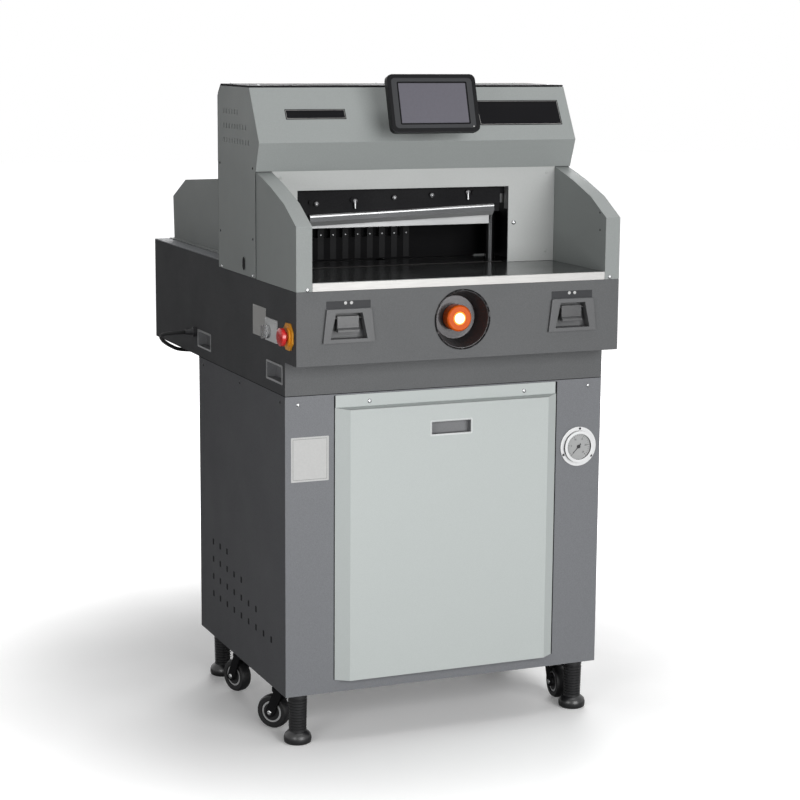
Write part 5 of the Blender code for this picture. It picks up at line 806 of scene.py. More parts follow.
@dataclass
class Carried:
    """The pieces that keep the shape of their CAD node, with rounded edges and their own finish.

    Each row of plain holds a node, its finish, its record slot and the width of its rounded edges.
    """

    plain: tuple[tuple[str, Finish, str, float], ...] = (
        ("front_cover", FINISH.cover, "pale_grey_paint", 0.0008),
        ("table", FINISH.table, "polished_iron", 0.0005),
        ("table_edge_strip", FINISH.brushed, "brushed_aluminium", 0.0005),
        ("rear_table", FINISH.front, "mid_grey_paint", 0.0005),
        ("cutting_stick", FINISH.stick, "stick_plastic", 0.0004),
        ("left_guard", FINISH.head, "mid_grey_paint", 0.0006),
        ("right_guard", FINISH.head, "mid_grey_paint", 0.0006),
        ("head_hood", FINISH.head, "head_grey_paint", 0.0006),
        ("head_lid", FINISH.black_sheet, "black_paint", 0.0006),
        ("head_back_panel", FINISH.head, "head_grey_paint", 0.0004),
        # The front plate shares the head's paint slot; its lighter finish is painted light.
        ("front_plate", FINISH.plate, "head_grey_paint", 0.0004),
        ("portal_frame", FINISH.casting, "cast_iron", 0.0020),
        ("rear_guard_left", FINISH.head, "mid_grey_paint", 0.0006),
        ("rear_guard_right", FINISH.head, "mid_grey_paint", 0.0006),
        ("gauge_rails", FINISH.ground, "ground_steel", 0.0004),
        ("gauge_motor", FINISH.black_sheet, "black_paint", 0.0010),
        ("knob_well", FINISH.well, "black_plastic", 0.0008),
        ("left_switch_bezel", FINISH.switch, "black_plastic", 0.0006),
        ("right_switch_bezel", FINISH.switch, "black_plastic", 0.0006),
        ("screen_bracket", FINISH.plastic, "black_plastic", 0.0006),
        ("e_stop_collar", FINISH.yellow, "yellow_plastic", 0.0005),
        ("isolator_plate", FINISH.white_ring, "brushed_aluminium", 0.0003),
        ("pressure_gauge", FINISH.flange, "black_plastic", 0.0004),
        ("oil_tank", FINISH.blue, "tank_paint", 0.0015),
        ("pump_unit", FINISH.casting, "cast_iron", 0.0010),
        ("valve_block", FINISH.brushed, "brushed_aluminium", 0.0008),
        ("knife_cylinder", FINISH.chrome, "chrome", 0.0006),
        ("clamp_cylinder", FINISH.casting, "cast_iron", 0.0010),
        ("knife_crosshead", FINISH.ground, "ground_steel", 0.0005),
        ("knife_carrier", FINISH.casting, "cast_iron", 0.0005),
        # The knife's body takes the darkened steel of a painted dark reflection.
        ("knife", FINISH.blade, "ground_steel", 0.0),
        ("clamp_beam", FINISH.ground, "ground_steel", 0.0008),
        ("clamp_yoke", FINISH.shaded_rod, "chrome", 0.0006),
        ("lead_screw", FINISH.ground, "ground_steel", 0.0003),
        # The back gauge is darkened as painted shade for the throat.
        ("back_gauge", FINISH.gauge_back, "ground_steel", 0.0006),
        ("left_paddle", FINISH.paddle, "black_plastic", 0.0008),
        ("right_paddle", FINISH.paddle, "black_plastic", 0.0008),
        ("touch_screen", FINISH.grey_plastic, "screen_plastic", 0.0012),
        ("e_stop_button", FINISH.red, "red_plastic", 0.0006),
        ("isolator_knob", FINISH.screw, "black_plastic", 0.0006),
        ("gauge_needle", FINISH.plastic, "black_plastic", 0.0),
        ("control_knob", FINISH.orange, "orange_lens", 0.0004),
    )
    shell_edge: float = 0.0008
    fork_edge: float = 0.0004
    wheel_edge: float = 0.0006
    front_share: float = 0.5
    gauge_front_share: float = 0.3
    flange_share: float = 0.6
    knife_top_share: float = 0.3
    knife_bevel_share: float = 0.15
    screen_front_share: float = 0.80
    hood_side_share: float = 0.9
    hood_back_share: float = 0.3
    hood_front_y: float = 0.3500
    grip_xs: tuple[float, float] = (0.3480, 0.3696)
    grip_half_length: float = 0.0470
    grip_half_height: float = 0.0172
    pull_half_width: float = 0.0460
    pull_zs: tuple[float, float] = (0.6600, 0.6920)
    pull_front: float = 0.0500

    def two_tone(self, node: str, flank: Finish, front: Finish) -> None:
        """A shell with painted shade on its flanks: they get a darker copy of the paint that its front gets.

        Args:
            node: CAD node.
            flank: Darker copy of the paint, as painted shade on the sides, back and underside.
            front: The paint itself, on the faces towards the operator.
        """
        piece = Bench.refined(node + "_skin", node, self.shell_edge)
        Bench.dress(piece, flank, "dark_grey_paint")
        self.second_tone(node, front, self.at_front)

    def at_front(self, middle: Vector, normal: Vector) -> bool:
        """Whether a face looks towards the operator."""
        return normal.y < -self.front_share

    def in_grip(self, middle: Vector, normal: Vector) -> bool:
        """Whether a face lies in one of the console's grip pockets."""
        along = min(abs(middle.y - grip) for grip in GRIP_YS)
        near = along < self.grip_half_length and abs(middle.z - GRIP_Z) < self.grip_half_height
        return near and self.grip_xs[0] < abs(middle.x) < self.grip_xs[1]

    def in_hood(self, middle: Vector, normal: Vector) -> bool:
        """Whether a face is on the inside of the head's hood."""
        inner_side = middle.x * normal.x < 0 and abs(normal.x) > self.hood_side_share
        return inner_side or normal.y > self.hood_back_share and middle.y < self.hood_front_y

    def in_pull(self, middle: Vector, normal: Vector) -> bool:
        """Whether a face lies in the cover's recessed pull."""
        level = self.pull_zs[0] < middle.z < self.pull_zs[1]
        return level and abs(middle.x) < self.pull_half_width and middle.y > self.pull_front

    def off_screen(self, middle: Vector, normal: Vector) -> bool:
        """Whether a face of the touch screen's housing is on its sides or back."""
        return normal.dot(SCREEN_NORMAL) < self.screen_front_share

    def second_tone(self, node: str, finish: Finish, chosen: Callable[[Vector, Vector], bool]) -> None:
        """Gives some faces of a carried piece another finish.

        Args:
            node: CAD node of the piece.
            finish: Finish of those faces.
            chosen: Says, from a face's middle on the drawing and its normal, whether it gets the finish.
        """
        mesh = bpy.data.objects[node + "_skin"].data
        mesh.materials.append(finish.material())
        last = len(mesh.materials) - 1
        for face in mesh.polygons:
            if chosen(face.center - SHIFT, face.normal):
                face.material_index = last

    def build(self) -> None:
        """Builds every carried piece."""
        # The flanks of cabinet and console shell get painted shade.
        self.two_tone("cabinet", FINISH.cabinet, FINISH.front)
        self.two_tone("console_shell", FINISH.side, FINISH.console)
        for node, finish, slot, edge in self.plain:
            Bench.dress(Bench.refined(node + "_skin", node, edge), finish, slot)
        tones = (
            # The knife's upward faces: lighter steel as a painted highlight.
            ("knife", FINISH.edge, lambda middle, normal: normal.z > self.knife_top_share),
            # Inside of the head, back panel and hood: black as painted shade.
            ("head_back_panel", FINISH.black_sheet, self.at_front),
            ("head_hood", FINISH.black_sheet, self.in_hood),
            # The back gauge's front faces: near black, as painted shade.
            ("back_gauge", FINISH.gauge_steel, lambda middle, normal: normal.y < -self.gauge_front_share),
            ("pressure_gauge", FINISH.bezel, lambda middle, normal: abs(normal.y) < self.flange_share),
            # The screen housing's sides and back: painted shade.
            ("touch_screen", FINISH.gloss_edge, self.off_screen),
            # The knife's downward bevel: lighter steel as painted light from the table below.
            ("knife", FINISH.bevel, lambda middle, normal: normal.z < -self.knife_bevel_share),
            ("console_shell", FINISH.pocket, self.in_grip),
            # The pull's recess: darker grey as painted shade.
            ("front_cover", FINISH.pocket, self.in_pull),
        )
        for node, finish, chosen in tones:
            self.second_tone(node, finish, chosen)
        for corner, _, _ in CORNERS:
            fork = Bench.refined(f"caster_fork_skin_{corner}", f"caster_fork_{corner}", self.fork_edge)
            Bench.dress(fork, FINISH.black_sheet, "black_paint")
            wheel = Bench.refined(f"caster_wheel_skin_{corner}", f"caster_wheel_{corner}", self.wheel_edge)
            Bench.dress(wheel, FINISH.wheel, "rubber")


@dataclass(frozen=True)
class ScrewKind:
    """A kind of screw: radius and height of its head, and its finish."""

    radius: float
    height: float
    finish: Finish


@dataclass(frozen=True)
class Plate:
    """A flat plate: its width, height and thickness, and the radius of its corners."""

    size: Size
    corner: float


@dataclass(frozen=True)
class Rim(Plate):
    """A plate with an opening in it, which leaves a border all round."""

    border: float


@dataclass
class Fitter:
    """Makes the small pieces that several sub-assemblies share: plates, screws and their copies."""

    screw_sides: int = 24
    corner_steps: int = 5
    plate_edge: float = 0.0002
    cutter_share: float = 6.0
    screw_shares: Profile = (
        (1.0, 0.0), (1.0, 0.25), (0.90, 0.62), (0.68, 0.90), (0.42, 1.0), (0.38, 0.45), (0.05, 0.40)
    )

    def plate(self, name: str, at: Point, normal: Vector, plate: Plate) -> bpy.types.Object:
        """A thin plate with rounded corners that lies on a face.

        Args:
            name: Name of the piece.
            at: Middle of its back face on the drawing.
            normal: Outward direction of the face.
            plate: Its size and corners.

        Returns:
            The piece, settled.
        """
        Bench.clear()
        thickness = plate.size[2]
        bpy.ops.mesh.primitive_cube_add(size=1.0, location=(0, 0, thickness / 2))
        piece = bpy.context.object
        piece.name = name
        piece.scale = plate.size
        Bench.settle(piece)
        if plate.corner:
            Bench.take(piece)
            bpy.ops.object.mode_set(mode="EDIT")
            bpy.ops.mesh.select_mode(type="EDGE")
            bpy.ops.mesh.select_all(action="DESELECT")
            mesh = bmesh.from_edit_mesh(piece.data)
            for edge in mesh.edges:
                low, high = edge.verts
                edge.select_set(abs(low.co.z - high.co.z) > thickness / 2)
            bmesh.update_edit_mesh(piece.data)
            bpy.ops.mesh.bevel(offset=plate.corner, segments=self.corner_steps, affect="EDGES")
            bpy.ops.object.mode_set(mode="OBJECT")
        piece.rotation_mode = "QUATERNION"
        piece.rotation_quaternion = normal.normalized().to_track_quat("Z", "Y")
        piece.location = place(*at)
        Bench.settle(piece)
        return Bench.soften(piece, min(self.plate_edge, thickness / 4), 1)

    def rim(self, name: str, at: Point, normal: Vector, rim: Rim) -> bpy.types.Object:
        """A plate with its middle taken out, as a rim round an opening.

        Args:
            name: Name of the piece.
            at: Middle of its back face on the drawing.
            normal: Outward direction of the face.
            rim: Its size, corners and border.

        Returns:
            The piece, settled.
        """
        width, height, thickness = rim.size
        piece = self.plate(name, at, normal, rim)
        depth = thickness * self.cutter_share
        inner = (width - rim.border * 2, height - rim.border * 2, depth)
        behind = Vector(at) - normal.normalized() * depth / 2
        opening = Plate(inner, max(0.0, rim.corner - rim.border / 2))
        cutter = self.plate(name + "_cutter", tuple(behind), normal, opening)
        Bench.take(piece)
        modifier = piece.modifiers.new("opening", "BOOLEAN")
        modifier.operation = "DIFFERENCE"
        modifier.solver = "EXACT"
        modifier.object = cutter
        bpy.ops.object.modifier_apply(modifier=modifier.name)
        bpy.data.objects.remove(cutter)
        return piece

    def lay(
        self, name: str, at: Point, normal: Vector, plate: Plate, finish: Finish, slot: str,
        body: str = "machine",
    ) -> bpy.types.Object:
        """Makes a plate or a rim and dresses it; the arguments are those of plate and of Bench.dress."""
        make = self.rim if isinstance(plate, Rim) else self.plate
        return Bench.dress(make(name, at, normal, plate), finish, slot, body)

    def screw(self, name: str, at: Point, axis: Axis | Vector, kind: ScrewKind) -> bpy.types.Object:
        """A dome-headed screw with a socket: its place is the foot of its head."""
        profile = tuple((kind.radius * out, kind.height * up) for out, up in self.screw_shares)
        return Bench.turned(name, profile, at, axis, self.screw_sides)

    def copies(
        self, first: bpy.types.Object, name: str, places: list[Point], finish: Finish, slot: str, body: str
    ) -> None:
        """Copies a finished piece to more places, each with its own mesh, and dresses them all.

        Args:
            first: Piece that is copied, which stays as the first of them.
            name: Stem of the copies' names.
            places: Place of every piece on the drawing, the first one's too.
            finish: Their finish.
            slot: Their record slot.
            body: Body that they ride on.
        """
        made = [first]
        for number, spot in enumerate(places[1:], 2):
            piece = Bench.add(f"{name}_{number}", first.data.copy())
            piece.data.transform(Matrix.Translation(Vector(spot) - Vector(places[0])))
            made.append(piece)
        for piece in made:
            Bench.dress(piece, finish, slot, body)

    def screws(
        self, name: str, places: list[Point], axis: Axis | Vector, kind: ScrewKind, body: str = "machine"
    ) -> None:
        """A row of like screws, named from a stem, at the feet of their heads on the drawing."""
        first = self.screw(name + "_1", places[0], axis, kind)
        self.copies(first, name, places, kind.finish, "ground_steel", body)


@dataclass
class HeadDetails(Fitter):
    """Bare plates, screws and ports of the head's shell, each port a black plate of painted shade."""

    crease: Pair = (0.2196, 1.2751)
    top: Pair = (0.2836, 1.3887)
    model_plate: Span = (-0.3026, -0.1654, 1.3226, 1.3436)
    notice_plate: Span = (0.1460, 0.3480, 1.3070, 1.3600)
    sheet: float = 0.0004
    sheet_corner: float = 0.0012
    line_inset: float = 0.0020
    line_thickness: float = 0.00012
    line_border: float = 0.0005
    line_corner: float = 0.0008
    flank: float = 0.3724
    port: Pair = (0.3224, 1.0120)
    port_plate: Plate = Plate((0.0210, 0.0290, 0.0004), 0.0100)
    port_lip: Rim = Rim((0.0240, 0.0320, 0.0008), 0.0110, 0.0015)
    edge_screw: ScrewKind = ScrewKind(0.0032, 0.0018, FINISH.screw)
    edge_ys: Pair = (0.2650, 0.4766)
    edge_z: float = 0.9910
    flank_screw: ScrewKind = ScrewKind(0.0030, 0.0012, FINISH.dark_screw)
    flank_ys: Pair = (0.2620, 0.4850)
    flank_zs: Pair = (1.0700, 1.2200)
    back_screw: ScrewKind = ScrewKind(0.0035, 0.0014, FINISH.dark_screw)
    back_xs: tuple[float, ...] = (-0.350, -0.175, 0.0, 0.175, 0.350)
    back_y: float = 0.5012
    back_zs: Pair = (1.1800, 1.3520)
    lid_screw: ScrewKind = ScrewKind(0.0035, 0.0016, FINISH.screw)
    lid_xs: tuple[float, ...] = (-0.3450, 0.0, 0.3450)
    lid_ys: Pair = (0.3050, 0.4850)
    lid_z: float = 1.3930

    def fascia_y(self, height: float) -> float:
        """Where the sloping fascia stands at a height."""
        share = (height - self.crease[1]) / (self.top[1] - self.crease[1])
        return self.crease[0] + share * (self.top[0] - self.crease[0])

    def fascia_normal(self) -> Vector:
        """Outward direction of the sloping fascia."""
        slope = Vector((0, self.top[0] - self.crease[0], self.top[1] - self.crease[1]))
        return Vector((1, 0, 0)).cross(slope).normalized()

    def label(self, name: str, span: Span) -> None:
        """A bare dark plate on the fascia, with a thin pale frame.

        Args:
            name: Name of the piece.
            span: Left, right, bottom and top of the plate on the drawing.
        """
        left, right, bottom, top = span
        middle = (bottom + top) / 2
        normal = self.fascia_normal()
        height = (top - bottom) / abs(normal.y)
        at = ((left + right) / 2, self.fascia_y(middle), middle)
        sheet = Plate((right - left, height, self.sheet), self.sheet_corner)
        self.lay(name, at, normal, sheet, FINISH.dark_label, "black_plastic")
        raised = tuple(Vector(at) + normal * self.sheet)
        size = (right - left - self.line_inset * 2, height - self.line_inset * 2, self.line_thickness)
        line = Rim(size, self.line_corner, self.line_border)
        self.lay(name + "_line", raised, normal, line, FINISH.brushed, "brushed_aluminium")

    def build(self) -> None:
        """Builds the head's details."""
        self.label("model_plate", self.model_plate)
        self.label("notice_plate", self.notice_plate)
        for side, axis, name in SIDES:
            x = side * self.flank
            edge = [(x, y, self.edge_z) for y in self.edge_ys]
            self.screws(f"head_edge_screw_{name}", edge, axis, self.edge_screw)
            flank = [(x, y, z) for y in self.flank_ys for z in self.flank_zs]
            self.screws(f"head_flank_screw_{name}", flank, axis, self.flank_screw)
            at, normal = (x, *self.port), Vector((side, 0, 0))
            # The port's opening is a black plate: painted shade for the dark inside the hole.
            self.lay(f"head_port_{name}", at, normal, self.port_plate, FINISH.black_sheet, "black_paint")
            self.lay(f"head_port_lip_{name}", at, normal, self.port_lip, FINISH.head, "head_grey_paint")
        back = [(x, self.back_y, z) for x in self.back_xs for z in self.back_zs]
        self.screws("head_back_screw", back, Axis.BACK, self.back_screw)
        lid = [(x, y, self.lid_z) for x in self.lid_xs for y in self.lid_ys]
        self.screws("head_lid_screw", lid, Axis.UP, self.lid_screw)


@dataclass
class ScreenDetails(Fitter):
    """The touch screen's glass, the seam round it, a near-black rim of painted shade round the housing and
    its small lamp.
    """

    pin: Point = (0.0090, 0.2200, 1.3144)
    out: float = 0.0510
    rise: float = 0.0300
    glass: Plate = Plate((0.1564, 0.0869, 0.0007), 0.0012)
    glass_out: float = -0.0009
    seam: Rim = Rim((0.1630, 0.0935, 0.0003), 0.0030, 0.0024)
    lip: Rim = Rim((0.2050, 0.1260, 0.0014), 0.0130, 0.0080)
    lip_out: float = -0.0002
    lip_edge: float = 0.0005
    lip_steps: int = 3
    lamp: Profile = ((0.0014, 0), (0.0014, 0.0003), (0.0009, 0.0006))
    lamp_place: Pair = (0.088, -0.052)
    lamp_sides: int = 16

    def on_face(self, right: float = 0.0, up: float = 0.0, out: float = 0.0) -> Point:
        """A point of the screen's face on the drawing.

        Args:
            right: Distance to the right of the face's middle.
            up: Distance above it.
            out: Distance in front of it.

        Returns:
            The point.
        """
        upward = Vector((0, math.sin(SCREEN_TILT), math.cos(SCREEN_TILT)))
        point = Vector(self.pin) + SCREEN_NORMAL * (self.out + out) + upward * (self.rise + up)
        return (point.x + right, point.y, point.z)

    def build(self) -> None:
        """Builds the display."""
        at = self.on_face(out=self.glass_out)
        self.lay("display_glass", at, SCREEN_NORMAL, self.glass, FINISH.display, "screen_plastic", "screen")
        at = self.on_face()
        self.lay("display_seam", at, SCREEN_NORMAL, self.seam, FINISH.dark_label, "black_plastic", "screen")
        # A near-black rim: painted shade on the housing's rounded front edge.
        lip = self.rim("screen_lip", self.on_face(out=self.lip_out), SCREEN_NORMAL, self.lip)
        Bench.soften(lip, self.lip_edge, self.lip_steps)
        Bench.dress(lip, FINISH.gloss_edge, "black_plastic", "screen")
        at = self.on_face(*self.lamp_place)
        lamp = Bench.turned("status_lamp", self.lamp, at, SCREEN_NORMAL, self.lamp_sides)
        Bench.dress(lamp, FINISH.brushed, "brushed_aluminium", "screen")


@dataclass
class ThroatDetails(Fitter):
    """The knife's screws, studs and painted highlight, the back gauge's painted shade, and the other screws.
    """

    knife_screw: ScrewKind = ScrewKind(0.0058, 0.0034, FINISH.socket)
    knife_screw_y: float = 0.2568
    knife_screw_places: tuple[Pair, ...] = (
        (-0.2302, 1.1421), (-0.1414, 1.1464), (-0.0489, 1.1519), (0.0402, 1.1553), (0.1271, 1.1600)
    )
    stud: Profile = ((0.0024, 0.0), (0.0024, 0.0135), (0.0018, 0.0142))
    stud_y: float = 0.2556
    stud_places: tuple[Pair, ...] = ((-0.1414, 1.1300), (0.1271, 1.1436))
    stud_sides: int = 16
    line_at: Point = (-0.0269, 0.2560, 1.1217)
    line: Plate = Plate((0.4360, 0.0026, 0.0003), 0.0002)
    knife_skew: float = math.radians(1.9)
    dome: ScrewKind = ScrewKind(0.0052, 0.0036, FINISH.screw)
    dome_at: Point = (0.2342, 0.2450, 1.0911)
    backing: tuple[Point, Point] = ((-0.2640, 0.4125, 1.0540), (0.0560, 0.4133, 1.1120))
    backing_edge: float = 0.0001
    wing: tuple[Point, Point] = ((0.2080, 0.4004, 1.0060), (0.2600, 0.4044, 1.1115))
    wing_edge: float = 0.0006
    comb_last: float = 0.0400
    comb_pitch: float = 0.0295
    comb_count: int = 10
    gauge_face: float = 0.4000
    face_half_width: float = 0.0070
    face_thickness: float = 0.0004
    face_zs: Pair = (1.0060, 1.1110)
    face_edge: float = 0.0001
    finger_screw: ScrewKind = ScrewKind(0.0032, 0.0016, FINISH.socket)
    finger_screw_z: float = 1.0605
    guard_screw: ScrewKind = ScrewKind(0.0024, 0.0008, FINISH.dark_screw)
    guard_x: float = 0.3353
    guard_screw_places: tuple[Pair, ...] = ((0.0288, 1.1275), (0.0269, 1.0900))
    # These screws take the plate's lightened paint, painted light too.
    plate_screw: ScrewKind = ScrewKind(0.0034, 0.0014, FINISH.plate)
    plate_x: float = 0.3150
    plate_y: float = 0.2450
    plate_zs: Pair = (1.0250, 1.2000)
    strip_screw: ScrewKind = ScrewKind(0.0042, 0.0020, FINISH.screw)
    strip_ends: tuple[Point, ...] = ((-0.3457, -0.0001, 0.9900), (0.3478, -0.0001, 0.9907))

    def knife(self) -> None:
        """The knife's screws and studs, and a painted highlight along its top edge: a thin plate of lighter
        steel.
        """
        holes = [(x, self.knife_screw_y, z) for x, z in self.knife_screw_places]
        self.screws("knife_screw", holes, Axis.FRONT, self.knife_screw, "knife_unit")
        for number, (x, z) in enumerate(self.stud_places, 1):
            at = (x, self.stud_y, z)
            # The studs take the lighter steel of the knife's painted highlight.
            piece = Bench.turned(f"knife_stud_{number}", self.stud, at, Axis.UP, self.stud_sides)
            Bench.dress(piece, FINISH.edge, "ground_steel", "knife_unit")
        # A thin plate of lighter steel: a painted highlight along the knife's top edge.
        line = self.plate("knife_top_line", self.line_at, TO_OPERATOR, self.line)
        middle = Matrix.Translation(place(*self.line_at))
        line.data.transform(middle @ Matrix.Rotation(-self.knife_skew, 4, "Y") @ middle.inverted())
        Bench.dress(line, FINISH.edge, "ground_steel", "knife_unit")

    def gauge(self) -> None:
        """The back gauge's backing and wing, dark plates of painted shade, and the face and screw of each
        finger, the faces dark with painted shade.
        """
        # Dark backing and wing: plates of painted shade behind the fingers.
        backing = Bench.block("gauge_backing", *self.backing, self.backing_edge)
        Bench.dress(backing, FINISH.gauge_steel, "ground_steel", "gauge")
        wing = Bench.block("gauge_wing", *self.wing, self.wing_edge)
        Bench.dress(wing, FINISH.gauge_steel, "ground_steel", "gauge")
        first = self.comb_last - self.comb_pitch * (self.comb_count - 1)
        xs = [first + self.comb_pitch * i for i in range(self.comb_count)]
        fingers = [(x, self.gauge_face, self.finger_screw_z) for x in xs]
        low = (first - self.face_half_width, self.gauge_face - self.face_thickness, self.face_zs[0])
        high = (first + self.face_half_width, self.gauge_face, self.face_zs[1])
        face = Bench.block("finger_face_1", low, high, self.face_edge)
        self.copies(face, "finger_face", fingers, FINISH.finger, "ground_steel", "gauge")
        self.screws("finger_screw", fingers, Axis.FRONT, self.finger_screw, "gauge")

    def build(self) -> None:
        """Builds the throat's details."""
        self.knife()
        self.screws("plate_dome", [self.dome_at], Axis.FRONT, self.dome)
        self.gauge()
        for side, inward, name in ((1, Axis.LEFT, "right"), (-1, Axis.RIGHT, "left")):
            inner = [(side * self.guard_x, y, z) for y, z in self.guard_screw_places]
            self.screws(f"guard_inner_screw_{name}", inner, inward, self.guard_screw)
        corners = [(x, self.plate_y, z) for x in (-self.plate_x, self.plate_x) for z in self.plate_zs]
        self.screws("plate_screw", corners, Axis.FRONT, self.plate_screw)
        self.screws("strip_end_screw", list(self.strip_ends), Axis.FRONT, self.strip_screw)


@dataclass
class ConsoleDetails(Fitter):
    """Bare strips, grip rims, plates and the lit knob of the console."""

    flank: float = 0.3700
    knob_z: float = 0.9149
    knob_recess: float = 0.0150
    knob_sides: int = 64
    knob_ring: Profile = ((0.0140, -0.0003), (0.0140, 0.0010), (0.0132, 0.0014), (0.0112, 0.0010))
    lens_y: float = 0.0140
    lens: Profile = ((0.0108, 0.0), (0.0106, 0.0008), (0.0092, 0.0018), (0.0064, 0.0026), (0.0030, 0.0030))
    grip_ring_y: float = 0.0200
    grip_ring: tuple[float, float, float] = (0.0281, 0.0272, 0.0030)
    well_ring: tuple[float, float, float] = (0.0640, 0.0606, 0.0012)
    ring_steps: int = 72
    ring_edge_share: float = 0.25
    weld: float = 0.00002
    strip: Plate = Plate((0.0972, 0.0160, 0.0004), 0.0010)
    strip_x: float = 0.2564
    strip_z: float = 0.9570
    dot: ScrewKind = ScrewKind(0.0034, 0.0004, FINISH.white)
    dot_xs: Pair = (0.2500, 0.2630)
    dot_z: float = 0.9605
    grip: Rim = Rim((0.1010, 0.0410, 0.0012), 0.0030, 0.0042)
    rating_plate: Plate = Plate((0.0840, 0.0640, 0.0005), 0.0015)
    rating_place: Pair = (0.2290, 0.8990)
    pin: ScrewKind = ScrewKind(0.0013, 0.0007, FINISH.screw)
    pin_out: float = 0.0005
    pin_ys: Pair = (0.1905, 0.2675)
    pin_zs: Pair = (0.8705, 0.9275)
    isolator_screw: ScrewKind = ScrewKind(0.0016, 0.0009, FINISH.screw)
    isolator_out: float = 0.0033
    isolator_ys: Pair = (0.1160, 0.1800)
    isolator_zs: Pair = (0.8700, 0.9100)

    def knob(self) -> None:
        """The knob's lit ring and lens, and the ring round its grip."""
        at = (0.0, self.knob_recess, self.knob_z)
        ring = Bench.turned("knob_ring", self.knob_ring, at, Axis.FRONT, self.knob_sides)
        Bench.dress(ring, FINISH.lit_orange, "orange_lens", "knob")
        at = (0.0, self.lens_y, self.knob_z)
        lens = Bench.turned("knob_lens", self.lens, at, Axis.FRONT, self.knob_sides)
        Bench.dress(lens, FINISH.lit_white, "orange_lens", "knob")
        collar = self.spun("knob_grip_ring", (0.0, self.grip_ring_y, self.knob_z), *self.grip_ring)
        Bench.dress(collar, FINISH.orange, "orange_lens", "knob")

    def spun(self, name: str, at: Point, outer: float, inner: float, depth: float) -> bpy.types.Object:
        """A round rim that faces the operator, spun from a small section.

        Args:
            name: Name of the piece.
            at: Middle of its back edge on the drawing.
            outer: Outer radius.
            inner: Inner radius.
            depth: How far it comes forward.

        Returns:
            The piece.
        """
        Bench.clear()
        centre = place(*at)
        bpy.ops.mesh.primitive_plane_add(size=1.0, rotation=(math.pi / 2, 0, math.pi / 2))
        piece = bpy.context.object
        piece.name = name
        Bench.settle(piece)
        Bench.take(piece)
        bpy.ops.object.mode_set(mode="EDIT")
        bpy.ops.mesh.select_all(action="SELECT")
        bpy.ops.transform.resize(value=(1, depth, outer - inner), center_override=(0, 0, 0))
        bpy.ops.transform.translate(value=(centre.x, centre.y - depth / 2, centre.z + (outer + inner) / 2))
        bpy.ops.mesh.select_all(action="SELECT")
        bpy.ops.mesh.spin(steps=self.ring_steps, angle=2 * math.pi, center=tuple(centre), axis=(0, 1, 0))
        bpy.ops.mesh.select_all(action="SELECT")
        bpy.ops.mesh.remove_doubles(threshold=self.weld)
        bpy.ops.mesh.select_all(action="DESELECT")
        mesh = bmesh.from_edit_mesh(piece.data)
        for face in mesh.faces:
            face.select_set(all(abs(corner.co.x - centre.x) < MERGE_DISTANCE for corner in face.verts))
        bmesh.update_edit_mesh(piece.data)
        bpy.ops.mesh.delete(type="ONLY_FACE")
        bpy.ops.mesh.select_all(action="SELECT")
        bpy.ops.mesh.normals_make_consistent(inside=False)
        bpy.ops.object.mode_set(mode="OBJECT")
        return Bench.soften(piece, min(depth, outer - inner) * self.ring_edge_share)

    def build(self) -> None:
        """Builds the console's details."""
        self.knob()
        well = self.spun("well_rim", (0.0, 0.0, self.knob_z), *self.well_ring)
        Bench.dress(well, FINISH.well, "black_plastic", "machine")
        for side, _, name in SIDES:
            at = (side * self.strip_x, 0.0, self.strip_z)
            strip = f"{name}_switch_strip"
            self.lay(strip, at, TO_OPERATOR, self.strip, FINISH.grey_plastic, "black_plastic")
            dots = [(side * x, -self.strip.size[2], self.dot_z) for x in self.dot_xs]
            self.screws(f"{name}_strip_dot", dots, Axis.FRONT, self.dot)
            outward = Vector((side, 0, 0))
            for y, end in zip(GRIP_YS, ("front", "rear")):
                at = (side * self.flank, y, GRIP_Z)
                rim = f"{name}_{end}_grip_rim"
                self.lay(rim, at, outward, self.grip, FINISH.grip_rim, "brushed_aluminium")
        at = (-self.flank, *self.rating_place)
        outward = Vector((-1, 0, 0))
        self.lay("rating_plate", at, outward, self.rating_plate, FINISH.brushed, "brushed_aluminium")
        pins = [(-self.flank - self.pin_out, y, z) for y in self.pin_ys for z in self.pin_zs]
        self.screws("rating_pin", pins, Axis.LEFT, self.pin)
        x = -self.flank - self.isolator_out
        isolator = [(x, y, z) for y in self.isolator_ys for z in self.isolator_zs]
        self.screws("isolator_screw", isolator, Axis.LEFT, self.isolator_screw)


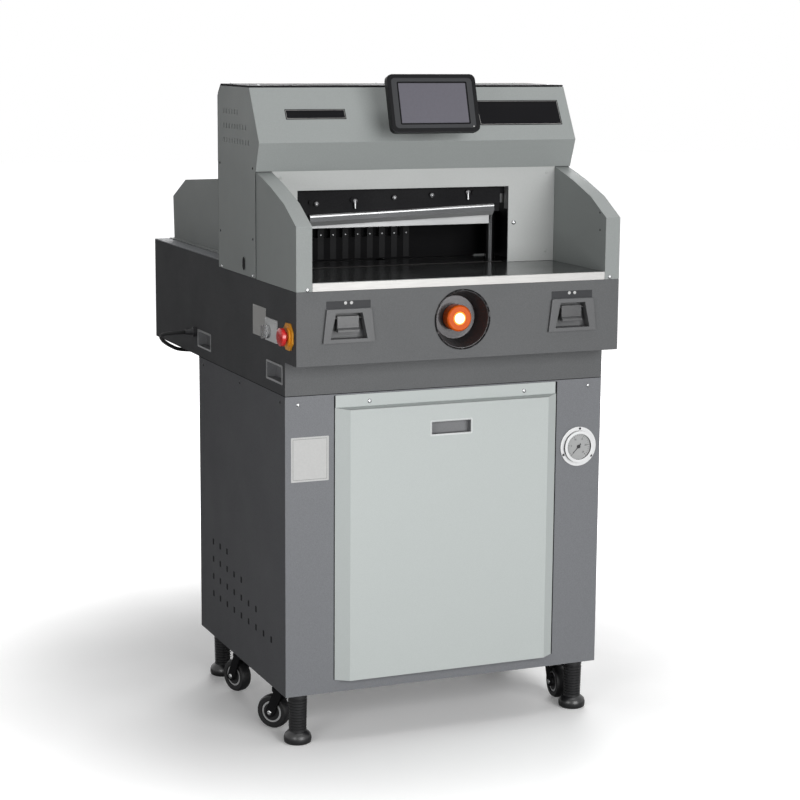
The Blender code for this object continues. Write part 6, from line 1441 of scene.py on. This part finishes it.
@dataclass
class CabinetDetails(Fitter):
    """Screws, vents, the bare label, the pull's rim and the seams of the cabinet."""

    front: float = 0.0689
    flank: float = 0.3700
    vent_start: Pair = (0.5645, 0.2153)
    vent_step: Pair = (0.0505, 0.0413)
    vent_counts: tuple[int, ...] = (9, 7, 5, 3)
    vent: Plate = Plate((0.0095, 0.0140, 0.0003), 0.0020)
    cover_screw: ScrewKind = ScrewKind(0.0046, 0.0022, FINISH.screw)
    cover_screw_xs: Pair = (-0.181, 0.181)
    cover_screw_z: float = 0.7410
    before_cover: float = -0.2
    stile_screw: ScrewKind = ScrewKind(0.0040, 0.0018, FINISH.screw)
    stile_screw_places: tuple[Pair, ...] = ((-0.3410, 0.7420), (0.3375, 0.7440))
    side_screw: ScrewKind = ScrewKind(0.0036, 0.0016, FINISH.dark_screw)
    side_screw_ys: tuple[float, ...] = (0.1000, 0.3650, 0.6300)
    side_screw_z: float = 0.7450
    label: Plate = Plate((0.0840, 0.0950, 0.0003), 0.0015)
    label_line: Rim = Rim((0.0760, 0.0870, 0.0001), 0.0010, 0.0006)
    label_place: Pair = (-0.3150, 0.6255)
    pull_rim: Rim = Rim((0.0990, 0.0345, 0.0006), 0.0030, 0.0040)
    pull_rim_at: Point = (0.0, 0.0495, 0.6768)
    seam_edge: float = 0.0001
    seam_ys: Pair = (0.0686, 0.0694)
    cover_seam_xs: Pair = (0.2591, 0.2613)
    cover_seam_zs: Pair = (0.1395, 0.7565)
    top_seam_zs: Pair = (0.7599, 0.7613)
    top_seams: tuple[tuple[str, Pair, Pair], ...] = (
        ("front", (-0.3702, 0.0686), (0.3702, 0.0694)),
        ("back", (-0.3702, 0.6636), (0.3702, 0.6643)),
        ("left", (-0.3704, 0.0689), (-0.3696, 0.6640)),
        ("right", (0.3696, 0.0689), (0.3704, 0.6640)),
    )

    def surface(self, node: str, start: Point, axis: Axis) -> Point:
        """Where a line from a point meets a CAD node.

        Args:
            node: Node that is met.
            start: Start of the line on the drawing.
            axis: Its direction.

        Returns:
            The meeting point on the drawing.
        """
        mesh = frame["nodes"][node].data
        corners = [corner.co for corner in mesh.vertices]
        tree = BVHTree.FromPolygons(corners, [tuple(face.vertices) for face in mesh.polygons])
        where = tree.ray_cast(place(*start), Vector(axis.value))[0]
        if where is None:
            raise ValueError(f"nothing of {node} behind {start}")
        return tuple(where - SHIFT)

    def vents(self, name: str, side: int) -> None:
        """Black plates over the vent slots of one flank: painted shade for the dark inside the slots.

        Args:
            name: Stem of their names.
            side: -1 for the left flank, 1 for the right.
        """
        (start_y, start_z), (step_y, step_z) = self.vent_start, self.vent_step
        places = [
            (side * self.flank, start_y - i * step_y, start_z + level * step_z)
            for level, count in enumerate(self.vent_counts) for i in range(count)
        ]
        first = self.plate(f"{name}_1", places[0], Vector((side, 0, 0)), self.vent)
        self.copies(first, name, places, FINISH.black_sheet, "black_paint", "machine")

    def front_pieces(self) -> None:
        """The front's screws, bare label and pull rim."""
        starts = [(x, self.before_cover, self.cover_screw_z) for x in self.cover_screw_xs]
        flange = [self.surface("front_cover", start, Axis.BACK) for start in starts]
        self.screws("cover_screw", flange, Axis.FRONT, self.cover_screw)
        stiles = [(x, self.front, z) for x, z in self.stile_screw_places]
        self.screws("stile_screw", stiles, Axis.FRONT, self.stile_screw)
        x, z = self.label_place
        at = (x, self.front, z)
        self.lay("blank_label", at, TO_OPERATOR, self.label, FINISH.white, "brushed_aluminium")
        at = (x, self.front - self.label.size[2], z)
        self.lay("blank_label_line", at, TO_OPERATOR, self.label_line, FINISH.switch, "black_plastic")
        # The pull's rim in lighter cover paint: a painted highlight.
        at = self.pull_rim_at
        self.lay("pull_rim", at, TO_OPERATOR, self.pull_rim, FINISH.pull_rim, "pale_grey_paint")

    def build(self) -> None:
        """Builds the cabinet's details."""
        self.front_pieces()
        for side, _, name in SIDES:
            left, right = sorted(side * x for x in self.cover_seam_xs)
            low, high = zip((left, right), self.seam_ys, self.cover_seam_zs)
            seam = Bench.block(f"cover_seam_{name}", low, high, self.seam_edge)
            Bench.dress(seam, FINISH.black_sheet, "black_paint", "machine")
            self.vents(f"side_vent_{name}", side)
        bottom, top = self.top_seam_zs
        for name, low, high in self.top_seams:
            seam = Bench.block(f"top_seam_{name}", (*low, bottom), (*high, top), self.seam_edge)
            Bench.dress(seam, FINISH.dark_label, "black_paint", "machine")
        for side, axis, name in SIDES:
            places = [(side * self.flank, y, self.side_screw_z) for y in self.side_screw_ys]
            self.screws(f"cabinet_side_screw_{name}", places, axis, self.side_screw)


@dataclass
class GaugeDetails(Fitter):
    """The pressure gauge's dial, its ticks and plain numbers, and its flange's screws."""

    centre: Pair = (0.3153, 0.6090)
    floor: float = 0.0659
    mark_out: float = 0.0004
    sweep: float = math.radians(276)
    highest: int = 25
    long_step: int = 5
    dial: Profile = ((0.0286, 0.0), (0.0286, 0.0003), (0.0282, 0.0004))
    dial_sides: int = 72
    tick_ring: float = 0.0262
    long_tick: Pair = (0.0007, 0.0048)
    short_tick: Pair = (0.0004, 0.0026)
    tick_thickness: float = 0.0002
    tick_edge: float = 0.00005
    number_ring: float = 0.0178
    number_size: float = 0.0056
    number_depth: float = 0.00008
    flange_screw: ScrewKind = ScrewKind(0.0028, 0.0016, FINISH.dark_screw)
    flange_ring: float = 0.0400
    flange_y: float = 0.0669
    flange_degrees: tuple[float, ...] = (5, 125, 245)

    def on_dial(self, angle: float, radius: float, depth: float) -> Point:
        """A point of the dial.

        Args:
            angle: Angle from the top, clockwise as the operator sees it.
            radius: Distance from the dial's middle.
            depth: Place along the machine's depth.

        Returns:
            The point on the drawing.
        """
        return (self.centre[0] + radius * math.sin(angle), depth, self.centre[1] + radius * math.cos(angle))

    def angle(self, value: float) -> float:
        """Angle of a pressure on the dial, from the top."""
        return self.sweep * (value / self.highest - 0.5)

    def ticks(self) -> None:
        """One tick for each unit, the fifth ones longer."""
        for value in range(self.highest + 1):
            width, length = self.short_tick if value % self.long_step else self.long_tick
            angle = self.angle(value)
            at = self.on_dial(angle, self.tick_ring - length / 2, self.floor - self.mark_out)
            Bench.clear()
            bpy.ops.mesh.primitive_cube_add(size=1.0, location=(0, 0, 0))
            tick = bpy.context.object
            tick.name = f"dial_tick_{value}"
            tick.scale = (width, self.tick_thickness, length)
            tick.rotation_euler = (0, angle, 0)
            tick.location = place(*at)
            Bench.settle(tick)
            Bench.dress(Bench.soften(tick, self.tick_edge, 1), FINISH.dark_label, "black_plastic", "machine")

    def numbers(self) -> None:
        """Plain numbers at the long ticks."""
        for value in range(0, self.highest + 1, self.long_step):
            at = self.on_dial(self.angle(value), self.number_ring, self.floor - self.mark_out)
            Bench.clear()
            bpy.ops.object.text_add(location=place(*at), rotation=(math.pi / 2, 0, 0))
            words = bpy.context.object
            words.data.body = str(value)
            words.data.size = self.number_size
            words.data.align_x = "CENTER"
            words.data.align_y = "CENTER"
            words.data.extrude = self.number_depth
            bpy.ops.object.convert(target="MESH")
            piece = bpy.context.object
            piece.name = f"dial_number_{value}"
            Bench.settle(piece)
            Bench.dress(piece, FINISH.dark_label, "black_plastic", "machine")

    def build(self) -> None:
        """Builds the dial."""
        at = (self.centre[0], self.floor, self.centre[1])
        dial = Bench.turned("gauge_dial", self.dial, at, Axis.FRONT, self.dial_sides)
        Bench.dress(dial, FINISH.dial, "brushed_aluminium", "machine")
        self.ticks()
        self.numbers()
        turns = [math.radians(turn) for turn in self.flange_degrees]
        spots = [self.on_dial(turn, self.flange_ring, self.flange_y) for turn in turns]
        self.screws("gauge_flange_screw", spots, Axis.FRONT, self.flange_screw)


@dataclass
class FloorFittings(Fitter):
    """Ribbed levelling feet and the wheels' rims and bolts."""

    foot_x: float = 0.3314
    foot_ys: Pair = (0.1015, 0.6200)
    foot_sides: int = 40
    pad: Profile = (
        (0.0262, 0.0), (0.0292, 0.0022), (0.0300, 0.0070), (0.0300, 0.0130), (0.0280, 0.0190),
        (0.0235, 0.0236), (0.0192, 0.0262),
    )
    stem: Profile = ((0.0205, 0.1000), (0.0205, 0.1100), (0.0190, 0.1113), (0.0060, 0.1114), (0.0060, 0.1560))
    ribs: int = 11
    rib_zs: Pair = (0.0285, 0.0985)
    rib_radius: float = 0.0190
    rib_growth: float = 0.0014
    rib_bulge: float = 0.0002
    rib_depth: float = 0.0014
    rib_shares: tuple[float, float, float] = (0.50, 0.62, 0.88)
    caster_x: float = 0.3320
    caster_ys: Pair = (0.1950, 0.4660)
    trail: float = 0.0220
    wheel_z: float = 0.0375
    swivels: tuple[float, ...] = (40.0, 20.0, 175.0, 20.0)
    wheel_sides: int = 48
    wheel_out: float = 0.0098
    ring: Profile = ((0.0236, 0.0), (0.0236, 0.0008), (0.0226, 0.0013))
    disc: Profile = ((0.0196, 0.0), (0.0196, 0.0016), (0.0180, 0.0021))
    bolt: ScrewKind = ScrewKind(0.0056, 0.0028, FINISH.screw)
    bolt_out: float = 0.0199

    def foot_profile(self) -> Profile:
        """Rings of a foot: its pad, its ribbed column, its collar and its stem."""
        rings = list(self.pad)
        low, high = self.rib_zs
        pitch = (high - low) / self.ribs
        bulge, root, root_end = self.rib_shares
        for number in range(self.ribs):
            start = low + number * pitch
            radius = self.rib_radius + self.rib_growth * number / self.ribs
            inner = radius - self.rib_depth
            rings += [
                (radius, start), (radius + self.rib_bulge, start + pitch * bulge),
                (inner, start + pitch * root), (inner, start + pitch * root_end),
            ]
        return (*rings, *self.stem)

    def feet(self) -> None:
        """The four feet, turned once and copied."""
        first = Bench.turned("ribbed_foot", self.foot_profile(), (0, 0, 0), Axis.UP, self.foot_sides)
        for name, side, end in CORNERS:
            piece = Bench.add(f"ribbed_foot_{name}", first.data.copy())
            piece.data.transform(Matrix.Translation((side * self.foot_x, self.foot_ys[end], 0)))
            Bench.dress(piece, FINISH.foot, "rubber", f"foot_{name}")
            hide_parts(f"foot_{name}")
        bpy.data.objects.remove(first)

    def wheels(self) -> None:
        """A pale ring, a dark centre and a fork bolt on both sides of each wheel."""
        for (name, side, end), swivel in zip(CORNERS, self.swivels):
            turn = math.radians(swivel)
            axis = Vector((math.cos(turn), math.sin(turn), 0))
            pivot = Vector((side * self.caster_x, self.caster_ys[end], self.wheel_z))
            centre = pivot + Vector((-math.sin(turn), math.cos(turn), 0)) * self.trail
            for way, tag in ((1, "a"), (-1, "b")):
                out = axis * way
                at = tuple(centre + out * self.wheel_out)
                ring = Bench.turned(f"wheel_ring_{name}_{tag}", self.ring, at, out, self.wheel_sides)
                Bench.dress(ring, FINISH.white_ring, "rubber", f"wheel_{name}")
                disc = Bench.turned(f"wheel_centre_{name}_{tag}", self.disc, at, out, self.wheel_sides)
                Bench.dress(disc, FINISH.wheel, "rubber", f"wheel_{name}")
                at = tuple(centre + out * self.bolt_out)
                bolt = self.screw(f"fork_bolt_{name}_{tag}", at, out, self.bolt)
                Bench.dress(bolt, self.bolt.finish, "ground_steel", f"fork_{name}")

    def build(self) -> None:
        """Builds the feet's and wheels' pieces."""
        self.feet()
        self.wheels()


def main() -> None:
    """Builds the studio and the machine, piece by piece."""
    logging.basicConfig(level=logging.INFO, format="%(message)s")
    assemblies = (
        Studio, MainsLead, Carried, HeadDetails, ScreenDetails, ThroatDetails, ConsoleDetails, CabinetDetails,
        GaugeDetails, FloorFittings,
    )
    for assembly in assemblies:
        assembly().build()


if __name__ == "__main__":
    main()
